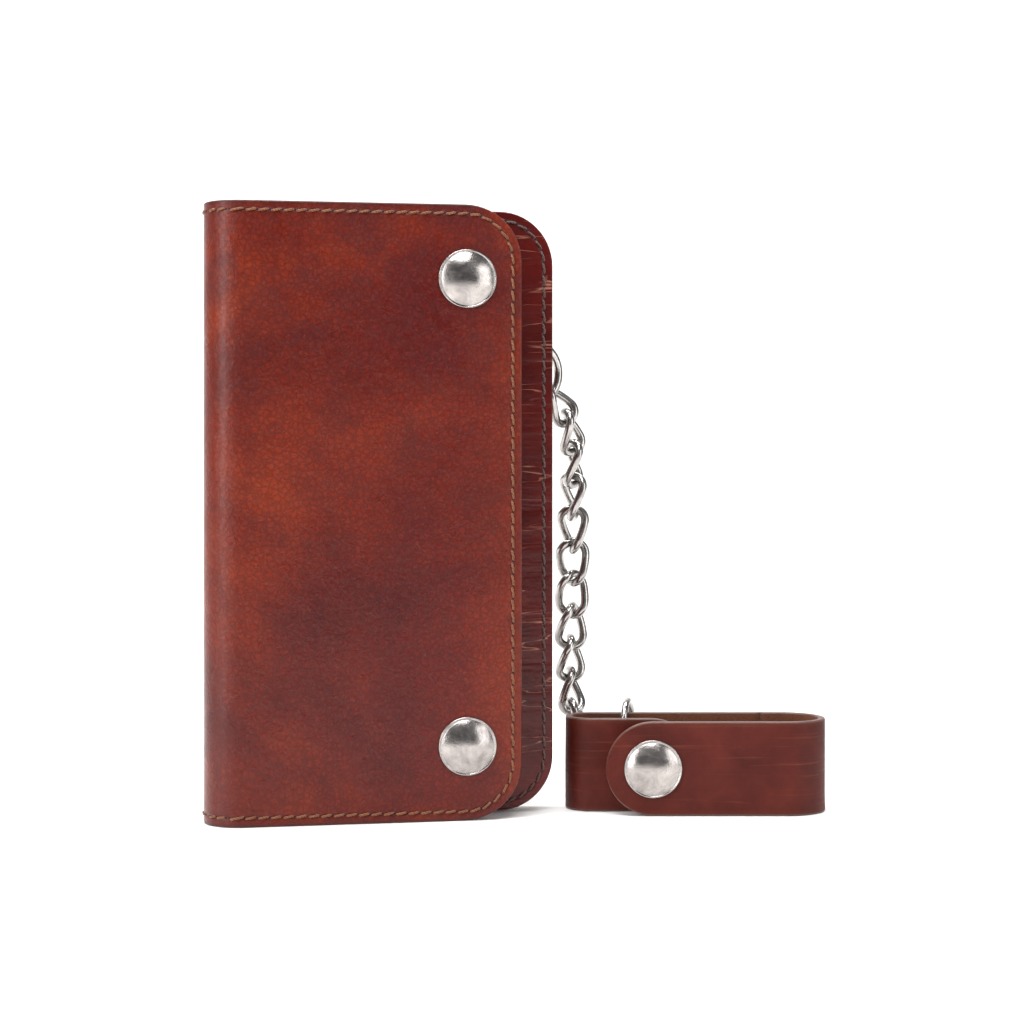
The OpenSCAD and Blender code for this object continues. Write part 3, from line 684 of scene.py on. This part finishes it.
def edge_path(x0, x1, y, inset, z0=0.0, z1=WALLET_H, radius=CORNER_R, left_radius=None):
    """Path of a seam that runs at a distance in from a sheet's edge."""
    points = [Vector((x, y, z)) for x, z in outline(x0, x1, inset, z0, z1, radius, left_radius, 2.0)]
    if left_radius is not None:
        points.append(points[0].copy())
    return points


FORWARD = Vector((0, -1, 0))
BACKWARD = Vector((0, 1, 0))

# ---- Cover ----

COVER_MATS = ("cover", "edge", "lining")
back_skin = sheet("cover_back_skin", SPINE_X, BACK_X, BACK_OUT, -1, LEATHER_T, COVER_MATS,
                  stitched=True, wave=0.10, seed=2.0)
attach(back_skin, "back_half")
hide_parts("cover_back")
front_skin = sheet("cover_front_skin", SPINE_X, FLAP_X, FRONT_OUT, 1, LEATHER_T, COVER_MATS,
                   stitched=True, wave=0.16, seed=5.0)
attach(front_skin, "front_half")
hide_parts("cover_front")

CHAIN_OF_BODIES = ("back_half", "spine_1", "spine_2", "spine_3", "front_half")


def on_spine(angle, depth=0.0, z=WALLET_H / 2):
    t = math.radians(90 + angle)
    return Vector((SPINE_X + (SPINE_R - depth) * math.cos(t), SPINE_Y + (SPINE_R - depth) * math.sin(t), z))


for k in range(4):
    strip = spine_strip(f"spine_skin_{k + 1}", 45 * k, 45 * k + 45, COVER_MATS)
    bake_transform(strip)
    if k < 3:
        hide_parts(f"cover_spine_{k + 1}")


def spine_out(at):
    return (at - Vector((SPINE_X, SPINE_Y, at.z))).normalized()


for z in (STITCH_IN, WALLET_H - STITCH_IN):
    for k, (a0, a1) in enumerate(((0.0, 22.5), (22.5, 67.5), (67.5, 112.5), (112.5, 157.5), (157.5, 180.0))):
        row = Stitches()
        pad = 6.0 if k in (1, 2, 3) else 0.0
        start = a0 + pad if k else a0
        stop = a1 - pad if k < 4 else a1
        path = [on_spine(start + (stop - start) * i / 8, 0, z) for i in range(9)]
        row.along(path, spine_out)
        row.make(f"spine_stitches_{k + 1}_{'low' if z < 9 else 'high'}", CHAIN_OF_BODIES[k])

row = Stitches()
row.along(edge_path(SPINE_X, FLAP_X, FRONT_OUT, STITCH_IN), lambda at: FORWARD)
row.make("front_stitches", "front_half")
row = Stitches()
row.along(edge_path(SPINE_X, BACK_X, BACK_OUT, STITCH_IN), lambda at: BACKWARD)
row.make("back_stitches", "back_half")

# ---- Back half: lining, pockets and coin panel ----


def dressed(name, node, body, *args, **kw):
    obj = sheet(name, *args, **kw)
    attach(obj, body)
    if node:
        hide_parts(node)
    return obj


def flat_stitches(name, body, path, out, colour="gold_thread"):
    row = Stitches()
    row.along(path, lambda at: out)
    return row.make(name, body, colour)


def strip_block(name, x0, x1, y0, y1, z0, z1, mats, rounding=0.3):
    """Leather filler strip with softened edges."""
    points, faces = [], []
    r = rounding
    levels = [(y0, r), (y0 + r * 0.3, r * 0.3), (y0 + r, 0.0), (y1 - r, 0.0), (y1 - r * 0.3, r * 0.3), (y1, r)]
    for y, d in levels:
        for x, z in ((x0 + d, z0 + d), (x1 - d, z0 + d), (x1 - d, z1 - d), (x0 + d, z1 - d)):
            points.append((x, y, z))
    faces = grid_faces(len(levels), 4, wrap_cols=True)
    faces += [(0, 1, 2, 3), (20, 21, 22, 23)]
    return piece(name, points, faces, mats, smooth=False)


dressed("back_lining_skin", "back_lining", "back_half", SPINE_X, BACK_X, BACK_IN, -1, LINING_T,
        ("lining", "edge"), inset=LINING_INSET, left_radius=0.5, rounding=0.25, wave=0.0, seed=9.0)
dressed("bill_pocket_skin", "bill_pocket", "back_half", INNER_X, BACK_X, COIN_Y, 1, POCKET_T,
        ("pocket", "edge"), inset=LAYER_INSET, left_radius=0.8, rounding=0.4, wave=0.0, seed=11.0)


def seam_frame(name, x0, x1, y0, y1, inset, width, mats):
    """Seam strip round the top, bottom and open side, between two layers."""
    outer = outline(x0, x1, inset, 0, WALLET_H, CORNER_R)
    inner = outline(x0, x1, inset + width, 0, WALLET_H, CORNER_R)
    points = []
    for d, y in ((0.25, y0), (0.0, y0 + 0.25), (0.0, y1 - 0.25), (0.25, y1)):
        points += [(x, y, z) for x, z in outline(x0, x1, inset + d, 0, WALLET_H, CORNER_R)]
    for y in (y1, y0):
        points += [(x, y, z) for x, z in inner]
    count = len(outer)
    faces = []
    for i in range(6):
        for k in range(count - 1):
            a, b = i * count + k, i * count + k + 1
            c, d = ((i + 1) % 6) * count + k + 1, ((i + 1) % 6) * count + k
            faces.append((a, b, c, d))
    faces.append(tuple(i * count for i in range(6)))
    faces.append(tuple(reversed([i * count + count - 1 for i in range(6)])))
    obj = piece(name, points, faces, mats)
    for poly in obj.data.polygons:
        poly.use_smooth = len(poly.vertices) == 4
    return obj


seam = seam_frame("bill_seam", INNER_X, BACK_X, DIVIDER_Y, BILL_Y, LAYER_INSET, SEAM_W, ("edge",))
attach(seam, "back_half")
gusset = seam_frame("coin_gusset_skin", INNER_X + 1.5, BACK_X, PANEL_Y, COIN_Y, LAYER_INSET, GUSSET_W,
                    ("edge",))
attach(gusset, "back_half")
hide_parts("coin_gusset")

PANEL_X0 = ZIP_X + ZIP_HALF
dressed("coin_panel_skin", "coin_panel", "back_half", PANEL_X0, BACK_X, STUD_Y, 1, PANEL_T,
        ("glazed", "edge", "lining"), inset=LAYER_INSET, left_radius=0.8, stitched=True, rounding=0.45,
        wave=0.10, seed=14.0)
flat_stitches("coin_panel_stitches", "back_half",
              edge_path(PANEL_X0 + 2.2, BACK_X, STUD_Y, LAYER_INSET + STITCH_IN), FORWARD, "grey_thread")
right_x = PANEL_X0 + 0.6 + 2.4
flat_stitches("coin_zip_stitches_right", "back_half",
              [Vector((right_x, STUD_Y, 7)), Vector((right_x, STUD_Y, 171))], FORWARD, "grey_thread")
BIND_X1 = ZIP_X - ZIP_HALF
BIND_TOP = WALLET_H - LAYER_INSET
binding = strip_block("zip_binding_skin", INNER_X, BIND_X1, STUD_Y, PANEL_Y, LAYER_INSET, BIND_TOP,
                      ("glazed",), 0.35)
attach(binding, "back_half")
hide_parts("zip_binding")
wall = strip_block("zip_binding_wall", INNER_X, INNER_X + 1.4, PANEL_Y, COIN_Y, LAYER_INSET, BIND_TOP,
                   ("pocket",))
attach(wall, "back_half")
left_x = BIND_X1 - 2.0
flat_stitches("coin_zip_stitches_left", "back_half",
              [Vector((left_x, STUD_Y, 4)), Vector((left_x, STUD_Y, 174))], FORWARD, "grey_thread")

# ---- Zip ----


def zip_tape(name, x0, x1, node):
    """Woven tape with a corded edge at each side."""
    profile = []
    y0, y1 = PANEL_Y, PANEL_Y + 0.6
    z0, z1 = 6.9, 171.1
    for k in range(25):
        s = k / 24
        x = x0 + (x1 - x0) * s
        rib = 0.05 * math.sin(TAU * s * 6) + (0.10 if 0.06 < s < 0.2 or 0.8 < s < 0.94 else 0.0)
        profile.append((x, y0 + 0.12 - rib))
    lower = [(x, y1 - 0.05) for x in [point[0] for point in reversed(profile)]]
    loop = profile + lower
    rows = 60
    points = []
    for i in range(rows + 1):
        z = z0 + (z1 - z0) * i / rows
        points += [(x, y, z) for x, y in loop]
    faces = grid_faces(rows + 1, len(loop), wrap_cols=True)
    faces += [tuple(range(len(loop))), tuple(reversed(range(rows * len(loop), (rows + 1) * len(loop))))]
    obj = piece(name, points, faces, ("tape",))
    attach(obj, "back_half")
    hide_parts(node)


zip_tape("zip_tape_left_skin", ZIP_X - 7.8, ZIP_X - 0.8, "zip_tape_left")
zip_tape("zip_tape_right_skin", ZIP_X + 0.8, ZIP_X + 7.8, "zip_tape_right")

# ---- Front half: lining, slip pocket and card slots ----

dressed("front_lining_skin", "front_lining", "front_half", SPINE_X, FLAP_X, SLIP_Y, -1, LINING_T,
        ("lining", "edge"), inset=LINING_INSET, left_radius=0.5, rounding=0.25, wave=0.0, seed=21.0)
dressed("slip_pocket_skin", "slip_pocket", "front_half", INNER_X, FLAP_X, SOCKET_Y, -1, POCKET_T,
        ("pocket", "edge", "lining"), inset=LAYER_INSET, left_radius=0.8, stitched=True, rounding=0.4,
        wave=0.06, seed=23.0)
seam = seam_frame("slip_seam", INNER_X, FLAP_X, SLIP_Y, SLIP_PANEL_Y, LAYER_INSET, SEAM_W, ("edge",))
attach(seam, "front_half")
flat_stitches("slip_stitches", "front_half",
              edge_path(INNER_X + 1, FLAP_X, SOCKET_Y, LAYER_INSET + STITCH_IN), BACKWARD)

CARD_RIB_W = 4.0
for k in range(3):
    x0 = -16.5 + CARD_STEP * k
    face_y = SOCKET_Y + (k + 1) * (CARD_GAP + CARD_T)
    dressed(f"card_slot_skin_{k + 1}", f"card_slot_{k + 1}", "front_half", x0, CARD_X1, face_y, -1,
            CARD_T, ("pocket", "edge"), z0=CARD_Z0, z1=CARD_Z1, radius=1.2, left_radius=1.2, rounding=0.35,
            wave=0.05, seed=30.0 + k)
    back_y = face_y - CARD_T
    for i, z0 in enumerate((CARD_Z0, CARD_Z1 - CARD_RIB_W)):
        rib = strip_block(f"card_rib_{k + 1}_{i + 1}", x0 + 0.6, CARD_X1 - 0.5, back_y - CARD_GAP, back_y,
                          z0 + 0.5, z0 + CARD_RIB_W - 0.5, ("pocket",), 0.1)
        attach(rib, "front_half")
card_y = SOCKET_Y + 3 * (CARD_GAP + CARD_T)
low_z, high_z = CARD_Z0 + 2, CARD_Z1 - 2
card_seam = [Vector((x, card_y, z)) for x, z in ((2.5, low_z), (33.5, low_z), (33.5, high_z), (2.5, high_z))]
flat_stitches("card_stitches", "front_half", card_seam, BACKWARD)

# ---- Snaps ----


def cap_profile(radius, height):
    """Half profile of a domed cap with a rolled rim, from its apex out and round to its back."""
    rim = 0.55
    dome_r = (radius * radius + height * height) / (2 * height)
    profile = []
    for k in range(25):
        r = (radius - 0.95) * math.sin(math.pi / 2 * k / 24)
        profile.append((r, height - dome_r + math.sqrt(dome_r * dome_r - r * r)))
    profile.append((radius - 0.86, profile[-1][1] - 0.16))
    for k in range(11):
        t = math.radians(150 - 24 * k)
        profile.append((radius - rim * 0.55 + rim * 0.55 * math.cos(t), 0.33 + rim * 0.6 * math.sin(t)))
    profile.append((radius - 1.1, 0.0))
    profile.append((0.0, 0.0))
    return profile


TO_FRONT = Matrix.Rotation(math.radians(90), 4, "X")
for k, z in enumerate(SNAP_ZS):
    cap = lathe(f"flap_cap_{k + 1}", cap_profile(CAP_R, CAP_H), ("nickel",),
                Matrix.Translation((SNAP_X, FRONT_OUT, z)) @ TO_FRONT, 96)
    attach(cap, "front_half")
    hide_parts("flap_snap_caps")

# ---- Belt loop frame ----

LOOP_PLACE = Matrix.Translation((55.388, -6.975, 0)) @ Matrix.Rotation(math.radians(LOOP_YAW), 4, "Z")


def in_loop(u, v, z):
    return LOOP_PLACE @ Vector((u, v, z))


cap = lathe("loop_cap", cap_profile(CAP_R, CAP_H), ("nickel",),
            LOOP_PLACE @ Matrix.Translation((LOOP_SNAP[0], FRONT_V, LOOP_SNAP[1])) @ TO_FRONT, 96)
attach(cap, "belt_tail")
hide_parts("loop_snap_cap")


def strap(name, stations, thick, mats, wave=0.10, seed=40.0):
    """Strap standing on its edge.

    Each station is (outer point, outward direction, low z, high z) in the loop's frame."""
    points = []
    r = 0.5
    across = 14
    for (u, v), (nu, nv), low, high in stations:
        h = high - low
        rr = min(r, h / 2 - 0.01)
        ring = []
        for k in range(across + 1):
            ring.append((0.0, low + rr + (h - 2 * rr) * k / across))
        for k in range(1, 5):
            t = math.pi / 2 * k / 5
            ring.append((rr * (1 - math.cos(t)), high - rr + rr * math.sin(t)))
        for k in range(5):
            t = math.pi / 2 * k / 4
            ring.append((thick - rr * (1 - math.sin(t)), high - rr + rr * math.cos(t)))
        for k in range(1, across):
            ring.append((thick, high - rr - (h - 2 * rr) * k / across))
        for k in range(5):
            t = math.pi / 2 * k / 4
            ring.append((thick - rr * (1 - math.cos(t)), low + rr - rr * math.sin(t)))
        for k in range(1, 5):
            t = math.pi / 2 * k / 5
            ring.append((rr * (1 - math.sin(t)), low + rr - rr * math.cos(t)))
        for depth, z in ring:
            lift = wave * grain(u + 3 * nv, z + 5 * nu, 17, seed) if 1 < z - low < h - 1 else 0.0
            points.append(in_loop(u - nu * depth + nu * lift, v - nv * depth + nv * lift, z))
    count = len(points) // len(stations)
    faces = grid_faces(len(stations), count, wrap_cols=True)
    kinds = []
    for i in range(len(stations) - 1):
        for k in range(count):
            kinds.append(0 if k < across else 2 if across + 9 <= k < 2 * across + 8 else 1)
    faces.append(tuple(range(count)))
    faces.append(tuple(reversed(range((len(stations) - 1) * count, len(stations) * count))))
    kinds += [1, 1]
    return piece(name, points, faces, mats, kinds)


HALF_W = STRAP_W / 2


def round_end(u, centre, way):
    """Low and high z of a strap whose end is a half circle that points along way."""
    past = (u - centre) * way
    if past <= 0:
        return 0.0, STRAP_W
    half = math.sqrt(max(HALF_W * HALF_W - past * past, 0.09))
    return HALF_W - half, HALF_W + half


STRAP_MATS = ("strap", "edge", "suede")
LOOP_SNAP_U = LOOP_SNAP[0]
LEFT_BEND_V = BACK_V - LEFT_BEND_R
stations = []
for k in range(15):
    t = math.pi / 2 * k / 14
    u = LOOP_SNAP_U + HALF_W * 0.9995 * math.cos(t)
    stations.append(((u, INNER_END_V), (0, -1), *round_end(u, LOOP_SNAP_U, 1)))
for k in range(1, 9):
    u = LOOP_SNAP_U + (LEFT_BEND_R - LOOP_SNAP_U) * k / 8
    stations.append(((u, INNER_END_V), (0, -1), 0.0, STRAP_W))
for k in range(1, 25):
    t = math.radians(270 - 180 * k / 24)
    n = (math.cos(t), math.sin(t))
    stations.append(((LEFT_BEND_R + LEFT_BEND_R * n[0], LEFT_BEND_V + LEFT_BEND_R * n[1]), n, 0.0, STRAP_W))
JOIN_U = RIGHT_BEND_U - 6.0
for k in range(1, 28):
    u = LEFT_BEND_R + (JOIN_U - LEFT_BEND_R) * k / 27
    stations.append(((u, BACK_V), (0, 1), 0.0, STRAP_W))
strap_skin = strap("loop_strap_skin", stations, STRAP_T, STRAP_MATS)
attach(strap_skin, "belt_loop")
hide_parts("loop_strap")

# The other half starts on the back layer, so that no join shows on the front or in the bend
stations = []
for k in range(5):
    u = JOIN_U + (RIGHT_BEND_U - JOIN_U) * k / 4
    stations.append(((u, BACK_V), (0, 1), 0.0, STRAP_W))
for k in range(1, 49):
    t = math.radians(90 - 180 * k / 48)
    n = (math.cos(t), math.sin(t))
    stations.append(((RIGHT_BEND_U + BACK_V * n[0], BACK_V * n[1]), n, 0.0, STRAP_W))
for k in range(1, 31):
    u = RIGHT_BEND_U + (LOOP_SNAP_U - RIGHT_BEND_U) * k / 30
    stations.append(((u, FRONT_V), (0, -1), 0.0, STRAP_W))
for k in range(1, 16):
    t = math.pi / 2 * (1 - k / 15)
    u = LOOP_SNAP_U - HALF_W * 0.9995 * math.cos(t)
    stations.append(((u, FRONT_V), (0, -1), *round_end(u, LOOP_SNAP_U, -1)))
tail_skin = strap("loop_tail_skin", stations, STRAP_T, STRAP_MATS)
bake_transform(tail_skin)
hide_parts("loop_tail")

# ---- Chain ----

CHAIN_START = Vector((53.019, 6.403, 124.953))
LINK_PLAY = 0.3
# Each link: lean from straight down, heading of the lean, roll about its length, play at its lower end.
# A search found these numbers, and RING_TURN and D_TURN. part.scad has the same ones.
CHAIN_LIE = (
    (40.8, 22.0, 50.0, 0.35), (26.0, 55.5, 56.8, 0.35), (13.0, 78.0, 77.3, 0.34), (10.9, 79.6, 102.2, 0.3),
    (9.4, 80.0, 125.0, 0.33), (10.7, 83.3, 150.8, 0.34), (10.2, 84.3, 179.4, 0.31), (11.5, 86.5, 204.6, 0.32),
    (10.0, 80.6, 220.3, 0.38), (-4.9, 110.8, 230.6, 0.93), (42.5, -36.1, 238.0, 1.61),
    (77.1, -46.9, 260.8, 1.1),
    (101.3, -74.6, 255.3, 1.12),
)


def oval(share):
    r = LINK_W / 2
    leg = LINK_LEN - LINK_W
    turn = math.pi * r
    way = share * 2 * (leg + turn)
    if way < leg:
        return r, way - leg / 2
    if way < leg + turn:
        t = (way - leg) / r
        return r * math.cos(t), leg / 2 + r * math.sin(t)
    if way < 2 * leg + turn:
        return -r, leg / 2 - (way - leg - turn)
    t = (way - 2 * leg - turn) / r
    return -r * math.cos(t), -leg / 2 - r * math.sin(t)


def link_shape(place):
    """Smooth twisted link of round wire."""
    centres, ups = [], []
    count = 72
    for i in range(count):
        x, z = oval(i / count)
        t = math.radians(90) * z / LINK_LEN
        centres.append(Vector((x * math.cos(t), x * math.sin(t), z)))
        ups.append(Vector((-math.sin(t), math.cos(t), 0)))
    points, faces = tube(centres, WIRE_D / 2, 18, True, ups)
    return [place @ p for p in points], faces


joint = CHAIN_START.copy()
above = LINK_PLAY
for k, (lean, heading, roll, below) in enumerate(CHAIN_LIE):
    a, h = math.radians(lean), math.radians(heading)
    way = Vector((math.sin(a) * math.cos(h), math.sin(a) * math.sin(h), -math.cos(a)))
    centre = joint + way * (LINK_LEN / 2 - (WIRE_D + above) / 2)
    place = (Matrix.Translation(centre) @ Matrix.Rotation(h, 4, "Z") @ Matrix.Rotation(-a, 4, "Y")
             @ Matrix.Rotation(math.radians(roll) - h, 4, "Z"))
    points, faces = link_shape(place)
    link = piece(f"chain_link_{k + 1:02d}_bright", points, faces, ("steel",))
    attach(link, f"chain_link_{k + 1:02d}")
    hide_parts(f"chain_link_{k + 1:02d}")
    joint = centre + way * (LINK_LEN / 2 - (WIRE_D + below) / 2)
    above = below

# Small ring through the belt loop's back layer
RING_TURN = math.radians(12.8)
RING_PLACE = (19.2, 13.5, 23.6)
ring_mid = in_loop(*RING_PLACE)
ahead = in_loop(RING_PLACE[0] + math.sin(RING_TURN), RING_PLACE[1] + math.cos(RING_TURN), RING_PLACE[2])
ring_way = (ahead - ring_mid).normalized()
centres = []
for k in range(64):
    t = TAU * k / 64
    centres.append(ring_mid + RING_R * (ring_way * math.cos(t) + Vector((0, 0, 1)) * math.sin(t)))
points, faces = tube(centres, RING_WIRE_R, 18)
ring = piece("loop_ring_bright", points, faces, ("steel",))
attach(ring, "loop_ring")
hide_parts("loop_ring")

# ---- Tab, rivets and D-ring on the back ----

BAR = Vector((48.2, 4.0, 130.244))
D_TURN = math.radians(26.5)
centres = []
for k in range(41):
    t = math.radians(-90 + 180 * k / 40)
    way = Vector((math.cos(t) * math.cos(D_TURN), math.cos(t) * math.sin(D_TURN), math.sin(t)))
    centres.append(BAR + D_BOW_R * way)
for k in range(1, 20):
    centres.append(BAR + Vector((0, 0, D_BOW_R - 2 * D_BOW_R * k / 20)))
points, faces = tube(centres, D_WIRE_R, 18)
d_ring = piece("d_ring_bright", points, faces, ("steel",))
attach(d_ring, "d_ring")
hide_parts("d_ring")

TAB_T = 1.5
TAB_HALF = D_BOW_R - D_WIRE_R - 1.4
TAB_R = D_WIRE_R + TAB_T
TAB_LEN = 24.0


def tab_section(depth):
    """Outside of the folded tab in plan, at a depth below its surface."""
    r = TAB_R - depth
    end_x = BAR.x - TAB_LEN + depth
    path = [(end_x, BACK_OUT + depth * 0.5), (end_x, BACK_OUT + 2 * TAB_T - depth)]
    for k in range(1, 7):
        s = k / 6
        path.append((BAR.x - TAB_LEN + 21 * s, BACK_OUT + 2 * TAB_T - depth))
    top = math.degrees(math.asin(max(-1, min(1, (BACK_OUT + 2 * TAB_T - BAR.y - depth) / r))))
    for k in range(19):
        t = math.radians(180 - top - (180 - top + 90) * k / 18)
        path.append((BAR.x + r * math.cos(t), BAR.y + r * math.sin(t)))
    path.append((BAR.x - 10, BACK_OUT + 0.02))
    return path


points = []
levels = [(-TAB_HALF, 0.45), (-TAB_HALF + 0.14, 0.13), (-TAB_HALF + 0.45, 0.0), (0.0, 0.0),
          (TAB_HALF - 0.45, 0.0), (TAB_HALF - 0.14, 0.13), (TAB_HALF, 0.45)]
for z, d in levels:
    points += [(x, y, BAR.z + z) for x, y in tab_section(d)]
count = len(tab_section(0))
faces = grid_faces(len(levels), count, wrap_cols=True)
faces += [tuple(range(count)), tuple(reversed(range(count * 6, count * 7)))]
tab = piece("chain_tab_skin", points, faces, ("cover", "edge"), [0] * (len(faces) - 2) + [1, 1])
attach(tab, "back_half")
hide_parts("chain_tab")
row = Stitches()
tab_y = BACK_OUT + 2 * TAB_T
low_z, high_z = BAR.z - TAB_HALF + 1.5, BAR.z + TAB_HALF - 1.5
near_x, far_x = BAR.x - 5, BAR.x - 22.4
path = [Vector((x, tab_y, z)) for x, z in ((near_x, low_z), (far_x, low_z), (far_x, high_z), (near_x, high_z))]
row.along(path, lambda at: BACKWARD, pitch=2.9)
row.make("tab_stitches", "back_half")

for k, x in enumerate((BAR.x - 9, BAR.x - 18)):
    profile = [(0.0, 1.2)]
    for i in range(1, 13):
        t = math.pi / 2 * i / 12
        profile.append((3.2 * math.sin(t), 0.25 + 0.95 * math.cos(t)))
    profile += [(3.2, 0.12), (3.05, 0.0), (0.0, 0.0)]
    place = Matrix.Translation((x, tab_y, BAR.z)) @ Matrix.Rotation(math.radians(-90), 4, "X")
    rivet = lathe(f"tab_rivet_{k + 1}", profile, ("nickel",), place, 48)
    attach(rivet, "back_half")

# ---- Finishes of the CAD nodes that show as they are ----

CAD_FINISHES = {
    "brass": ("zip_teeth_left", "zip_teeth_right", "zip_stops", "zip_slider", "zip_pull", "flap_snap_springs",
              "loop_snap_spring"),
    "nickel": ("flap_snap_sockets", "flap_snap_studs", "flap_snap_eyelets", "tab_rivets", "loop_snap_socket",
               "loop_snap_stud", "loop_snap_eyelet"),
}
for key, node in ((key, node) for key, group in CAD_FINISHES.items() for node in group):
    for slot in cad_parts[node].material_slots:
        slot.link = "OBJECT"
        slot.material = MATS[key]

# ---- Table and light ----

# The floor curves up into a backdrop, in metres
SWEEP_R = 0.7
SWEEP_Y = 1.1
sweep = [(-2.2, 0.0), (SWEEP_Y, 0.0)]
for k in range(1, 17):
    t = math.pi / 2 * k / 16
    sweep.append((SWEEP_Y + SWEEP_R * math.sin(t), SWEEP_R * (1 - math.cos(t))))
sweep.append((SWEEP_Y + SWEEP_R, 2.6))
mesh = bpy.data.meshes.new("sweep")
mesh.from_pydata([(x, y, z) for y, z in sweep for x in (-3.0, 3.0)], [], grid_faces(len(sweep), 2))
mesh.materials.append(MATS["floor"])
mesh.polygons.foreach_set("use_smooth", [True] * len(mesh.polygons))
floor = bpy.data.objects.new("sweep", mesh)
bpy.context.collection.objects.link(floor)
floor.location.z = -0.0001

bpy.context.scene.view_settings.view_transform = "Standard"
world = bpy.data.worlds.new("studio")
bpy.context.scene.world = world
world.use_nodes = True
world.node_tree.nodes["Background"].inputs["Color"].default_value = (0.80, 0.80, 0.82, 1)
world.node_tree.nodes["Background"].inputs["Strength"].default_value = 0.24


def softbox(name, place, aim, width, height, power):
    data = bpy.data.lights.new(name, "AREA")
    data.shape = "RECTANGLE"
    data.size, data.size_y = width, height
    data.energy = power
    obj = bpy.data.objects.new(name, data)
    obj.location = place
    obj.rotation_euler = (Vector(aim) - Vector(place)).to_track_quat("-Z", "Y").to_euler()
    bpy.context.collection.objects.link(obj)


softbox("top_box", (-0.15, -0.35, 0.95), (0, 0, 0.08), 0.7, 0.45, 12)
softbox("left_box", (-0.85, -0.45, 0.45), (0, 0, 0.08), 0.30, 0.9, 7)
softbox("right_box", (0.75, -0.65, 0.35), (0.02, 0, 0.08), 0.5, 0.7, 3.0)
softbox("backdrop_box", (0.0, 0.5, 2.2), (0.1, 1.5, 0.5), 2.4, 0.8, 70)
